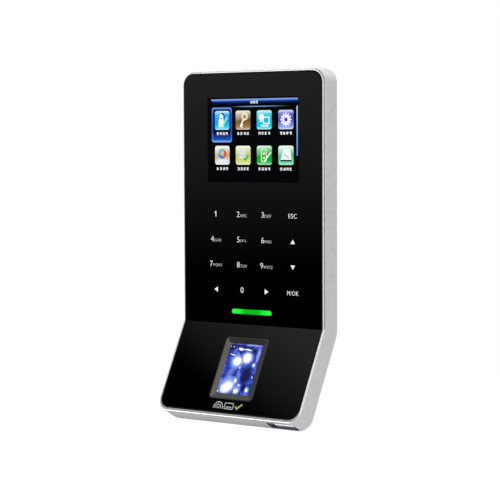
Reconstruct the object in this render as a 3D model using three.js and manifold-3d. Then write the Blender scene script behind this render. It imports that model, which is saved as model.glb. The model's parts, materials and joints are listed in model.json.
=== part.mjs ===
// A wall-mounted fingerprint terminal: a bent silver housing with two black front panels, a colour
// display, a touch keypad, a status bar, an optical finger sensor and a USB socket, which hangs on
// a steel wall plate. Units are millimetres. The origin is the centre of the wall plate's rear face,
// the wall is the plane y = 0, the front faces -Y and +Z is up.

import * as THREE from 'three';
import { mergeVertices } from 'three/addons/utils/BufferGeometryUtils.js';
import Module from 'manifold-3d';

const wasm = await Module();
wasm.setup();

// ---- Driving dimensions -------------------------------------------------------------------------

const BODY_WIDTH = 78;
const BODY_DEPTH = 19.4; // wall to front plane of the upper section
const KICK = THREE.MathUtils.degToRad(28.4); // how far the lower section leans forward
const BEND_Z = -57; // height of the bend line between the two sections
const UPPER_LENGTH = 114.4; // bend line to top edge
const LOWER_LENGTH = 44.4; // bend line to bottom edge, along the lower section
const CORNER_RADIUS = 6.2;
const HALF_WIDTH = BODY_WIDTH / 2;

// Every depth below is measured backwards from the front plane of its own section.
const LIP = 1.15; // silver edge around the panels
const LIP_CHAMFER = 0.6;
const PANEL = { front: 0.1, back: 1.4 };
const TAPE = { front: 1.45, back: 1.65 };
const WEB = { front: 1.7, back: 3.2 }; // inner wall of the housing, behind the panels
const COVER = { front: 9.05, back: 10.6 };
const SIDE_WALL = 2;
const REBATE_WALL = 1.4; // housing wall beside the rear cover
const COVER_GAP = 0.2;
const SKIN = 1.6; // wall of the rear cover's two raised boxes

// The raised box behind the upper section, which holds the circuit board and the wall plate's recess.
const BOX = { halfWidth: 31, bottom: 1, top: 112, back: 19.2, floor: 17.6 };
// The raised box behind the finger sensor. Its places are distances below the bend line.
const SENSOR_BOX = { halfWidth: 15, top: 7, bottom: 38, back: 18.5 };

const DISPLAY = { x: 0.9, y: 82.5 }; // centre of the display module
const MODULE = { width: 60.3, height: 42.7 }; // the display's backlight, its widest layer
const FLEX_ROOM = 1.2; // extra room under the display for its cable
const KEYPAD = { halfWidth: 31, bottom: 10.4, top: 54.6 };
const SENSOR = { halfWidth: 8.75, top: 9.15, bottom: 33.2 }; // window of the finger sensor
const SENSOR_RIM = 3.1;
const SENSOR_MIDDLE = (SENSOR.top + SENSOR.bottom) / 2;
const STATUS_BAR = { halfLength: 11, y: 5.5, height: 2.5 };
const BOARD = { front: 8.6, back: 10, halfWidth: 28.6, bottom: 3.2, top: 110.1 };
const ON_BOARD = BOARD.back + 0.05; // parts soldered to the rear of the board start here

const USB = { x: 27.5, halfWidth: 6.55, front: 3.25, back: 8.95, mouth: 43.6, inner: 30.4 };
const USB_SHEET = 0.35;

const PLATE = { halfWidth: 27.5, bottom: 14.5, top: 105, front: 18.2, back: 19.4 };
const LIFT = 6; // travel that frees the terminal from the hooks
const HOOK = { x: 20, width: 6, stem: 4, tip: 5, front: 14.4, thickness: 1.2, rows: [52, 88] };
const BAY = { halfWidth: 21, bottom: 17, top: 43 }; // wiring bay in the rear cover
const PLATE_HOLE = { halfWidth: 20, bottom: 18, top: 42 };
const LUG = { halfWidth: 7, bottom: -1.2, top: 0.8, front: 11.4 };
const SECURITY_DEPTH = 14.6; // depth of the security screw's axis

const BOARD_POSTS = [[-24, 6], [24, 6], [-24, 107.2], [24, 107.2]];
const UPPER_COVER_POSTS = [[-34.1, 107.5], [34.1, 107.5], [-34.1, 57], [34.1, 57]];
const LOWER_COVER_POSTS = [[-34.1, -14], [34.1, -14]];
const TAMPER = { x: -24.7, y: 28 };
const RESET = { x: 24.7, y: 22 };

// ---- Sections of the body -----------------------------------------------------------------------
// In both groups X is across, Y runs up along the front and Z points out of the front, so a depth n
// behind the front plane is z = -n. Both start on the bend line.

const terminal = new THREE.Group();
const upper = new THREE.Group();
upper.position.set(0, -BODY_DEPTH, BEND_Z);
upper.rotation.x = Math.PI / 2;
const lower = new THREE.Group();
lower.position.copy(upper.position);
lower.rotation.x = Math.PI / 2 - KICK;
terminal.add(upper, lower);

function finish(color, roughness, metalness = 0) {
  return new THREE.MeshStandardMaterial({ color, roughness, metalness });
}

function place(group, name, geometry, material) {
  const mesh = new THREE.Mesh(geometry, material);
  mesh.name = name;
  group.add(mesh);
}

// ---- Shapes -------------------------------------------------------------------------------------

/** A rectangle with round corners. */
function rounded(x0, x1, y0, y1, radius) {
  const shape = new THREE.Shape();
  shape.moveTo(x1, y0 + radius);
  shape.absarc(x1 - radius, y1 - radius, radius, 0, Math.PI / 2, false);
  shape.absarc(x0 + radius, y1 - radius, radius, Math.PI / 2, Math.PI, false);
  shape.absarc(x0 + radius, y0 + radius, radius, Math.PI, Math.PI * 1.5, false);
  shape.absarc(x1 - radius, y0 + radius, radius, Math.PI * 1.5, Math.PI * 2, false);
  return shape;
}

/** A flat piece with the given outline, between two depths. */
function plate(outline, front, back, curveSegments = 5) {
  const settings = { depth: back - front, bevelEnabled: false, curveSegments };
  return new THREE.ExtrudeGeometry(outline, settings).translate(0, 0, -back);
}

/** A box between two corners and two depths. */
function block(x0, x1, y0, y1, front, back) {
  const box = new THREE.BoxGeometry(x1 - x0, y1 - y0, back - front);
  return box.translate((x0 + x1) / 2, (y0 + y1) / 2, -(front + back) / 2);
}

/** A round post along the depth. */
function post(x, y, radius, front, back, segments = 16) {
  const cylinder = new THREE.CylinderGeometry(radius, radius, back - front, segments);
  return cylinder.rotateX(Math.PI / 2).translate(x, y, -(front + back) / 2);
}

/** A round bar along Y, at a depth. */
function bar(x, depth, radius, y0, y1, segments = 16) {
  const cylinder = new THREE.CylinderGeometry(radius, radius, y1 - y0, segments);
  return cylinder.translate(x, (y0 + y1) / 2, -depth);
}

/** A turned piece: profile points are [radius, depth], from the front of the axis to its back. */
function turned(x, y, profile, segments = 20) {
  const points = profile.map(([radius, depth]) => new THREE.Vector2(radius, -depth)).reverse();
  return new THREE.LatheGeometry(points, segments).rotateX(Math.PI / 2).translate(x, y, 0);
}

/** A closed outline in the plane of Y and Z, carried across from x0 to x1. */
function across(x0, x1, outline) {
  const turn = new THREE.Matrix4().makeBasis(
    new THREE.Vector3(0, 1, 0),
    new THREE.Vector3(0, 0, 1),
    new THREE.Vector3(1, 0, 0),
  );
  const settings = { depth: x1 - x0, bevelEnabled: false };
  return new THREE.ExtrudeGeometry(new THREE.Shape(outline), settings).applyMatrix4(turn).translate(x0, 0, 0);
}

/** A thin strip that follows [y, depth] points and is x1 - x0 wide. */
function strip(x0, x1, route, thickness) {
  const points = route.map(([y, depth]) => new THREE.Vector2(y, -depth));
  const sides = points.map((point, i) => {
    const before = points[Math.max(i - 1, 0)];
    const after = points[Math.min(i + 1, points.length - 1)];
    const along = after.clone().sub(before).normalize();
    const aside = new THREE.Vector2(-along.y, along.x).multiplyScalar(thickness / 2);
    return [point.clone().add(aside), point.clone().sub(aside)];
  });
  const outline = [...sides.map((side) => side[0]), ...sides.map((side) => side[1]).reverse()];
  return across(x0, x1, outline);
}

/** Moves a piece that is drawn in the lower section's frame into the upper section's frame. */
function fold(geometry) {
  return geometry.rotateX(-KICK);
}

/** Skins a row of rings. Each fan in fans is a convex polygon of the caps, as ring indices. */
function loft(rings, fans) {
  const count = rings[0].length;
  const last = (rings.length - 1) * count;
  const index = [];
  for (const fan of fans) {
    for (let i = 1; i < fan.length - 1; i += 1) {
      index.push(fan[0], fan[i], fan[i + 1]);
      index.push(last + fan[0], last + fan[i + 1], last + fan[i]);
    }
  }
  for (let ring = 0; ring < rings.length - 1; ring += 1) {
    for (let i = 0; i < count; i += 1) {
      const j = (i + 1) % count;
      const [a, b] = [ring * count, (ring + 1) * count];
      index.push(a + i, b + i, b + j, a + i, b + j, a + j);
    }
  }
  const geometry = new THREE.BufferGeometry().setFromPoints(rings.flat());
  geometry.setIndex(index);
  return geometry;
}

const CORNER_STEPS = 6;
const X_AXIS = new THREE.Vector3(1, 0, 0);

/** Points of a quarter circle from one angle to the next quarter. */
function corner(x, y, radius, quarter) {
  return Array.from({ length: CORNER_STEPS + 1 }, (_, i) => {
    const angle = (quarter + i / CORNER_STEPS) * (Math.PI / 2);
    return [x + radius * Math.cos(angle), y + radius * Math.sin(angle)];
  });
}

/** A block with round corners whose outline shrinks by an inset at each [depth, inset] layer. */
function taperedBlock({ x0, x1, y0, y1, radius }, layers) {
  const rings = layers.map(([depth, inset]) => {
    const r = Math.max(radius - inset, 0.05);
    const [left, right] = [x0 + inset + r, x1 - inset - r];
    const [bottom, top] = [y0 + inset + r, y1 - inset - r];
    const outline = [
      ...corner(right, top, r, 0),
      ...corner(left, top, r, 1),
      ...corner(left, bottom, r, 2),
      ...corner(right, bottom, r, 3),
    ];
    return outline.map(([x, y]) => new THREE.Vector3(x, y, -depth));
  });
  return loft(rings, [rings[0].map((_, i) => i)]);
}

/** The same around the bend: one block that covers both sections and is mitred at the bend line. */
function bentBlock({ halfWidth, top, bottom, radius }, layers) {
  const rings = layers.map(([depth, inset]) => {
    const r = radius - inset;
    const x = halfWidth - inset;
    const seam = -depth * Math.tan(KICK / 2);
    const above = [...corner(x - r, top - inset - r, r, 0), ...corner(r - x, top - inset - r, r, 1)];
    const below = [...corner(r - x, r + inset - bottom, r, 2), ...corner(x - r, r + inset - bottom, r, 3)];
    return [
      new THREE.Vector3(x, seam, -depth),
      ...above.map(([px, py]) => new THREE.Vector3(px, py, -depth)),
      new THREE.Vector3(-x, seam, -depth),
      ...below.map(([px, py]) => new THREE.Vector3(px, py, -depth).applyAxisAngle(X_AXIS, -KICK)),
    ];
  });
  const half = rings[0].length / 2;
  const upperFan = Array.from({ length: half + 1 }, (_, i) => i);
  const lowerFan = Array.from({ length: half + 1 }, (_, i) => (half + i) % (2 * half));
  return loft(rings, [upperFan, lowerFan]);
}

// ---- Joining and cutting ------------------------------------------------------------------------

function toSolid(geometry) {
  const bare = geometry.clone();
  bare.deleteAttribute('normal');
  bare.deleteAttribute('uv');
  const merged = mergeVertices(bare, 1e-4);
  return new wasm.Manifold(new wasm.Mesh({
    numProp: 3,
    vertProperties: new Float32Array(merged.attributes.position.array),
    triVerts: new Uint32Array(merged.index.array),
  }));
}

/** Joins the pieces in add to a geometry, then cuts away those in remove. */
function shaped(base, { add = [], remove = [] }) {
  let solid = toSolid(base);
  for (const piece of add) solid = solid.add(toSolid(piece));
  for (const piece of remove) solid = solid.subtract(toSolid(piece));
  const mesh = solid.getMesh();
  const geometry = new THREE.BufferGeometry();
  geometry.setAttribute('position', new THREE.BufferAttribute(mesh.vertProperties, 3));
  geometry.setIndex(new THREE.BufferAttribute(mesh.triVerts, 1));
  return geometry;
}

// ---- Housing and front panels -------------------------------------------------------------------

/** The outline of the whole body, moved in from its edge. */
function bodyOutline(inset) {
  return {
    halfWidth: HALF_WIDTH - inset,
    top: UPPER_LENGTH - inset,
    bottom: LOWER_LENGTH - inset,
    radius: CORNER_RADIUS - inset,
  };
}

/** The outline of the touch keypad, moved in from its edge. */
function keypadOutline(inset, radius = 1) {
  const { halfWidth, bottom, top } = KEYPAD;
  return rounded(inset - halfWidth, halfWidth - inset, bottom + inset, top - inset, radius);
}

function housing() {
  const edge = [[0, LIP_CHAMFER], [LIP_CHAMFER, 0], [COVER.back - 0.5, 0], [COVER.back, 0.5]];
  const hollows = [
    bentBlock(bodyOutline(LIP), [[-1, 0], [WEB.front, 0]]),
    bentBlock(bodyOutline(SIDE_WALL), [[WEB.back, 0], [COVER.front + 0.4, 0]]),
    bentBlock(bodyOutline(REBATE_WALL), [[COVER.front - 0.05, 0], [COVER.back + 1, 0]]),
  ];
  const [webFront, webBack] = [WEB.front - 0.7, WEB.back + 0.8]; // a cut right through the web
  const [screenX, screenY] = [MODULE.width / 2 + 0.35, MODULE.height / 2 + 0.35];
  const slot = { x: STATUS_BAR.halfLength + 0.3, y: STATUS_BAR.height / 2 + 0.25 };
  const rim = SENSOR_RIM + 0.45;
  const mouth = USB.halfWidth + 0.65;
  const windows = [
    block(DISPLAY.x - screenX, DISPLAY.x + screenX, DISPLAY.y - screenY - FLEX_ROOM, DISPLAY.y + screenY,
      webFront, webBack),
    plate(keypadOutline(-0.4), webFront, webBack),
    plate(rounded(-slot.x, slot.x, STATUS_BAR.y - slot.y, STATUS_BAR.y + slot.y, 1.4), webFront, webBack),
    fold(block(-SENSOR.halfWidth - rim, SENSOR.halfWidth + rim, -SENSOR.bottom - rim, rim - SENSOR.top,
      webFront, webBack)),
    fold(block(USB.x - mouth, USB.x + mouth, -LOWER_LENGTH - 1, -USB.mouth + 2.6,
      USB.front - 0.2, USB.back + 0.2)),
  ];
  const coverPost = ([x, y]) => post(x, y, 3, 2.5, COVER.front - 0.1);
  const coverBore = ([x, y]) => post(x, y, 1.2, 4, COVER.front + 1, 12);
  const posts = [
    ...BOARD_POSTS.map(([x, y]) => post(x, y, 2.5, 2.5, BOARD.front - 0.1)),
    ...UPPER_COVER_POSTS.map(coverPost),
    ...LOWER_COVER_POSTS.map((spot) => fold(coverPost(spot))),
  ];
  const bores = [
    ...BOARD_POSTS.map(([x, y]) => post(x, y, 1.1, 4, BOARD.front + 1, 12)),
    ...UPPER_COVER_POSTS.map(coverBore),
    ...LOWER_COVER_POSTS.map((spot) => fold(coverBore(spot))),
  ];
  const shell = shaped(bentBlock(bodyOutline(0), edge), { remove: [...hollows, ...windows] });
  return shaped(shell, { add: posts, remove: bores });
}

const PANEL_GAP = 0.15; // between the panels and the silver edge
const BEND_GAP = 0.12; // between each panel and the bend line

function upperPanel() {
  const inset = LIP + PANEL_GAP;
  const [side, top] = [HALF_WIDTH - inset, UPPER_LENGTH - inset];
  const radius = CORNER_RADIUS - inset;
  const shape = new THREE.Shape();
  shape.moveTo(-side, BEND_GAP);
  shape.lineTo(side, BEND_GAP);
  shape.absarc(side - radius, top - radius, radius, 0, Math.PI / 2, false);
  shape.absarc(radius - side, top - radius, radius, Math.PI / 2, Math.PI, false);
  return plate(shape, PANEL.front, PANEL.back, 8);
}

function lowerPanel() {
  const inset = LIP + PANEL_GAP;
  const [side, bottom] = [HALF_WIDTH - inset, inset - LOWER_LENGTH];
  const radius = CORNER_RADIUS - inset;
  const shape = new THREE.Shape();
  shape.moveTo(side, -BEND_GAP);
  shape.lineTo(-side, -BEND_GAP);
  shape.absarc(radius - side, bottom + radius, radius, Math.PI, Math.PI * 1.5, false);
  shape.absarc(side - radius, bottom + radius, radius, Math.PI * 1.5, Math.PI * 2, false);
  const outer = SENSOR.halfWidth + SENSOR_RIM + 0.15;
  shape.holes.push(rounded(-outer, outer, -36.45, -6, 1.6));
  return plate(shape, PANEL.front, PANEL.back, 8);
}

function tapeRing(y0, y1, holeY0, holeY1) {
  const ring = rounded(-37, 37, y0, y1, 4.2);
  ring.holes.push(rounded(-34.8, 34.8, holeY0, holeY1, 2));
  return plate(ring, TAPE.front, TAPE.back);
}

place(upper, 'frame_housing', housing(), finish(0xc4c5c7, 0.42, 0.25));
place(upper, 'upper_glass', upperPanel(), finish(0x050506, 0.06));
place(lower, 'lower_panel', lowerPanel(), finish(0x050506, 0.06));
place(upper, 'glass_tape', tapeRing(0.8, 112.4, 2.4, 110.2), finish(0x151515, 0.9));
place(lower, 'panel_tape', tapeRing(-42.4, -0.8, -40.2, -2.6), finish(0x151515, 0.9));

// ---- Display ------------------------------------------------------------------------------------

/** A rectangle of the given size, centred on the display, between two depths. */
function displayLayer(width, height, front, back, radius = 0.4) {
  const [x, y] = [DISPLAY.x, DISPLAY.y];
  return plate(rounded(x - width / 2, x + width / 2, y - height / 2, y + height / 2, radius), front, back, 2);
}

const lcdRoute = [[61.9, 2.05], [60.6, 2.05], [60.3, 2.5], [60.3, 5], [60.8, 5.5], [67, 5.5], [70, 8.3]];

place(upper, 'lcd_cell', displayLayer(57.5, 40.9, 1.5, 2.6), finish(0x0b0d12, 0.1));
place(upper, 'lcd_backlight', displayLayer(MODULE.width, MODULE.height, 2.7, 4.4), finish(0xe9edf2, 0.5));
place(upper, 'lcd_bracket', displayLayer(60.9, 43, 4.5, 5, 1), finish(0xa9adb0, 0.35, 0.9));
place(upper, 'lcd_flex', strip(-9, 11, lcdRoute, 0.2), finish(0xb5651d, 0.5));

// ---- Keypad, status bar and card reader ---------------------------------------------------------

const STATUS_LEDS = [-8, 0, 8];

function statusLightPipe() {
  const [half, y, radius] = [STATUS_BAR.halfLength, STATUS_BAR.y, STATUS_BAR.height / 2];
  const window = plate(rounded(-half, half, y - radius, y + radius, radius - 0.01), 1.5, 3.5);
  return shaped(window, { add: [block(-half - 1.2, half + 1.2, y - 1.9, y + 1.9, 3.3, 4)] });
}

function statusLedBoard() {
  const leds = STATUS_LEDS.map((x) => block(x - 1, x + 1, STATUS_BAR.y - 0.7, STATUS_BAR.y + 0.7, 4.15, 4.8));
  return shaped(block(-13, 13, 2.6, 8.4, 4.6, 5.4), { add: leds });
}

place(upper, 'touch_keypad_board', plate(keypadOutline(0), 1.5, 2.5, 2), finish(0x123d24, 0.5));
place(upper, 'keypad_light_guide', plate(keypadOutline(2), 2.6, 3.2, 2), finish(0xf0f2f2, 0.3));
place(upper, 'rfid_antenna_board', plate(keypadOutline(0.5, 2), 3.5, 4.1, 3), finish(0x1c5b33, 0.5));
place(upper, 'status_light_pipe', statusLightPipe(), finish(0x10e53a, 0.3));
place(upper, 'status_led_board', statusLedBoard(), finish(0x1c5b33, 0.5));

// ---- Finger sensor, in the lower section --------------------------------------------------------

const SENSOR_WINDOW = {
  x0: -SENSOR.halfWidth,
  x1: SENSOR.halfWidth,
  y0: -SENSOR.bottom,
  y1: -SENSOR.top,
  radius: 0.3,
};
const RIM_DIP = 0.35; // the rim slopes in to the window by this much
const PRISM = { front: 0.4, shoulder: 4.4, back: 8.4 };
const PRISM_GAP = 0.15; // between the prism and the rim around it

function sensorBezel() {
  const rim = SENSOR_RIM - 0.05;
  const [x, y0, y1] = [SENSOR.halfWidth + rim, -SENSOR.bottom - rim + 0.2, -SENSOR.top + rim - 0.2];
  const body = taperedBlock({ x0: -x, x1: x, y0, y1, radius: 1.5 }, [[0, 0.1], [0.1, 0], [4.4, 0]]);
  const slope = (SENSOR_RIM - 0.4) / RIM_DIP;
  const dish = taperedBlock(SENSOR_WINDOW, [[-0.05, -slope * (RIM_DIP + 0.05)], [RIM_DIP, 0], [5, 0]]);
  return shaped(body, { remove: [dish] });
}

function sensorPrism() {
  const [top, bottom] = [PRISM_GAP + SENSOR.top, SENSOR.bottom - PRISM_GAP];
  const { front, shoulder, back } = PRISM;
  const slant = back - shoulder;
  const half = SENSOR.halfWidth - PRISM_GAP;
  return across(-half, half, [
    new THREE.Vector2(-bottom, -front),
    new THREE.Vector2(-bottom, -shoulder),
    new THREE.Vector2(slant - bottom, -back),
    new THREE.Vector2(-top - slant, -back),
    new THREE.Vector2(-top, -shoulder),
    new THREE.Vector2(-top, -front),
  ]);
}

function sensorHolder() {
  const frame = block(-11.5, 11.5, -35.9, -6.6, 4.6, 8.6);
  return shaped(frame, { remove: [block(-8.9, 8.9, -33.35, -9, 4, 9)] });
}

function sensorLightBoard() {
  const spots = [[-6, -13.5], [6, -13.5], [-6, -29], [6, -29]];
  const leds = spots.map(([x, y]) => block(x - 1, x + 1, y - 0.8, y + 0.8, 8.8, 9.5));
  const board = block(-11, 11, -34.5, -10, 9.3, 10.3);
  return shaped(board, { add: leds, remove: [post(0, -SENSOR_MIDDLE, 4.2, 9, 11)] });
}

const LENS_PROFILE = [[0, 9.6], [2.2, 9.6], [2.8, 9], [3.8, 9], [3.8, 13.4], [5.2, 13.4],
  [5.2, 15.3], [0, 15.3]];

place(lower, 'sensor_bezel', sensorBezel(), finish(0x3c3c3d, 0.45));
place(lower, 'sensor_prism', sensorPrism(), finish(0x3c55d8, 0.05));
place(lower, 'sensor_holder', sensorHolder(), finish(0x161616, 0.6));
place(lower, 'sensor_light_board', sensorLightBoard(), finish(0x1b2f6b, 0.5));
place(lower, 'sensor_lens', turned(0, -SENSOR_MIDDLE, LENS_PROFILE), finish(0x1a1a1c, 0.4));
place(lower, 'sensor_camera_board', block(-11, 11, -34.5, -11, 15.4, 16.4), finish(0x1c5b33, 0.5));

// ---- Cables inside the body ---------------------------------------------------------------------

/** A point of the lower section, [distance below the bend, depth], as [y, depth] of the upper section. */
function folded([below, depth]) {
  const [cos, sin] = [Math.cos(KICK), Math.sin(KICK)];
  return [-below * cos - depth * sin, depth * cos - below * sin];
}

const sensorRoute = [
  ...[[12, 15.1], [9.7, 14.6], [9.3, 13.6], [9.3, 10.4], [8.4, 9.45], [2, 9.4]].map(folded),
  [0, 7.8],
  [8, 8.1],
];
const usbRoute = [...[[17.7, 5.6], [0.5, 6.4]].map(folded), [4, 8], [9, 8.3]];

place(upper, 'sensor_flex', strip(-4, 4, sensorRoute, 0.25), finish(0xb5651d, 0.5));
place(upper, 'usb_flex', strip(16.4, 20, usbRoute, 0.25), finish(0xd8d4c8, 0.5));

// ---- USB socket, in the bottom edge -------------------------------------------------------------

function usbShell() {
  const { x, halfWidth, front, back, mouth, inner } = USB;
  const [inside, t] = [halfWidth - USB_SHEET, USB_SHEET];
  const outer = block(x - halfWidth, x + halfWidth, -mouth, -inner, front, back);
  const hollow = block(x - inside, x + inside, -mouth - 1, -inner - t, front + t, back - t);
  return shaped(outer, { remove: [hollow] });
}

function usbTongue() {
  const base = block(USB.x - 6, USB.x + 6, -33.4, -30.9, 3.8, 8.4);
  return shaped(base, { add: [block(USB.x - 5.6, USB.x + 5.6, -USB.mouth + 0.6, -33, 6.45, 8.3)] });
}

place(lower, 'usb_port_shell', usbShell(), finish(0xcfd2d6, 0.25, 1));
place(lower, 'usb_tongue', usbTongue(), finish(0xe8ebf0, 0.4));
place(lower, 'usb_board', block(16, 35, -USB.inner + 0.2, -18, 5.6, 6.6), finish(0x1c5b33, 0.5));

// ---- Main board and the parts on it -------------------------------------------------------------

function mainBoard() {
  const outline = rounded(-BOARD.halfWidth, BOARD.halfWidth, BOARD.bottom, BOARD.top, 2);
  const holes = BOARD_POSTS.map(([x, y]) => post(x, y, 1.25, BOARD.front - 1, BOARD.back + 1, 16));
  return shaped(plate(outline, BOARD.front, BOARD.back, 3), { remove: holes });
}

/** A shrouded wire-to-board socket that opens to the rear, with a row of pins. */
function header(x, pins) {
  const [width, length, height] = [7.6, 14, 4.4];
  const [y0, y1] = [30 - length / 2, 30 + length / 2];
  const shroud = block(x - width / 2, x + width / 2, y0, y1, ON_BOARD, ON_BOARD + height);
  const mouth = block(x - 1.9, x + 1.9, y0 + 1, y1 - 1, ON_BOARD + 0.8, ON_BOARD + height + 1);
  const pitch = (length - 4) / (pins - 1);
  const pin = (i) => {
    const y = y0 + 2 + i * pitch;
    return block(x - 0.3, x + 0.3, y - 0.3, y + 0.3, ON_BOARD + 0.5, ON_BOARD + 3.6);
  };
  return shaped(shaped(shroud, { remove: [mouth] }), { add: Array.from({ length: pins }, (_, i) => pin(i)) });
}

function capacitor(x, y) {
  const base = ON_BOARD;
  const profile = [[0, base], [3.15, base], [3.15, base + 1], [2.95, base + 1.4], [3.15, base + 1.8],
    [3.15, base + 4.9], [2.8, base + 5.2], [0, base + 5.2]];
  return turned(x, y, profile, 16);
}

function speaker() {
  const base = ON_BOARD;
  const profile = [[0, base], [5, base], [5, base + 1.2], [9, base + 2.2], [10, base + 2.2], [10, base + 4.4],
    [9, base + 4.4], [8.2, base + 3.9], [3, base + 3.1], [1.5, base + 3.6], [0, base + 3.8]];
  return turned(0, 66, profile, 22);
}

const CELL = { x: 0, y: 92, radius: 10 };

function batteryHolder() {
  const cup = post(CELL.x, CELL.y, CELL.radius + 1.3, ON_BOARD, ON_BOARD + 2.4, 28);
  const pocket = post(CELL.x, CELL.y, CELL.radius + 0.3, ON_BOARD + 0.6, ON_BOARD + 3, 28);
  const notch = block(CELL.x - 3, CELL.x + 3, CELL.y + 6, CELL.y + 13, ON_BOARD + 0.8, ON_BOARD + 3);
  return shaped(cup, { remove: [pocket, notch] });
}

place(upper, 'main_board', mainBoard(), finish(0x1c5b33, 0.5));
place(upper, 'processor_shield', block(-24, 0, 22, 46, 6.3, BOARD.front - 0.05), finish(0xb9bdc0, 0.3, 1));
place(upper, 'lock_relay', block(15.2, 25.8, 66, 73.4, ON_BOARD, ON_BOARD + 5.1), finish(0x1b1b1d, 0.5));
place(upper, 'network_transformer', block(-26.4, -13.6, 66, 73, ON_BOARD, ON_BOARD + 3.2),
  finish(0x1b1b1d, 0.5));
place(upper, 'power_inductor', block(21.7, 28.4, 31, 37.7, ON_BOARD, ON_BOARD + 3.5), finish(0x3a3a3c, 0.6));
place(upper, 'capacitor_1', capacitor(-17, 102), finish(0xb9bdc0, 0.35, 0.8));
place(upper, 'capacitor_2', capacitor(17, 102), finish(0xb9bdc0, 0.35, 0.8));
place(upper, 'battery_holder', batteryHolder(), finish(0x161616, 0.6));
place(upper, 'backup_battery', post(CELL.x, CELL.y, CELL.radius, ON_BOARD + 0.7, ON_BOARD + 3.9, 28),
  finish(0xc9ccd0, 0.25, 1));
place(upper, 'speaker', speaker(), finish(0x202022, 0.6));
place(upper, 'wifi_antenna', block(-15, 15, 111.6, 112, 4, 8.6), finish(0xb5651d, 0.5));

const HEADERS = [['network_header', -15.3, 6], ['lock_header', -5.1, 5], ['reader_header', 5.1, 6],
  ['power_header', 15.3, 2]];
for (const [name, x, pins] of HEADERS) place(upper, name, header(x, pins), finish(0xece8dc, 0.5));

// ---- Reset button and tamper switch -------------------------------------------------------------

const SWITCH_HALF = 3;

/** A square switch body with a bore for its button. */
function switchBody({ x, y }, height, bore) {
  const [half, top] = [SWITCH_HALF, ON_BOARD + height];
  const body = block(x - half, x + half, y - half, y + half, ON_BOARD, top);
  return shaped(body, { remove: [post(x, y, bore, ON_BOARD + 1, top + 1)] });
}

function tamperPlunger() {
  const tip = PLATE.front - 0.2;
  const profile = [[0, 12.6], [1, 12.6], [1, 15.2], [1.9, 15.2], [1.9, tip - 0.5], [1.4, tip], [0, tip]];
  return turned(TAMPER.x, TAMPER.y, profile, 14);
}

function resetButton() {
  const top = ON_BOARD + 4.9;
  const profile = [[0, ON_BOARD + 1.5], [1.7, ON_BOARD + 1.5], [1.7, top - 0.2], [1.5, top], [0, top]];
  return turned(RESET.x, RESET.y, profile, 14);
}

place(upper, 'tamper_switch', switchBody(TAMPER, 3.8, 1.25), finish(0x1b1b1d, 0.5));
place(upper, 'tamper_plunger', tamperPlunger(), finish(0xf2f2f2, 0.5));
place(upper, 'reset_switch', switchBody(RESET, 3.5, 1.95), finish(0x1b1b1d, 0.5));
place(upper, 'reset_button', resetButton(), finish(0xb3241c, 0.5));

// ---- Rear cover ---------------------------------------------------------------------------------

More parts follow.
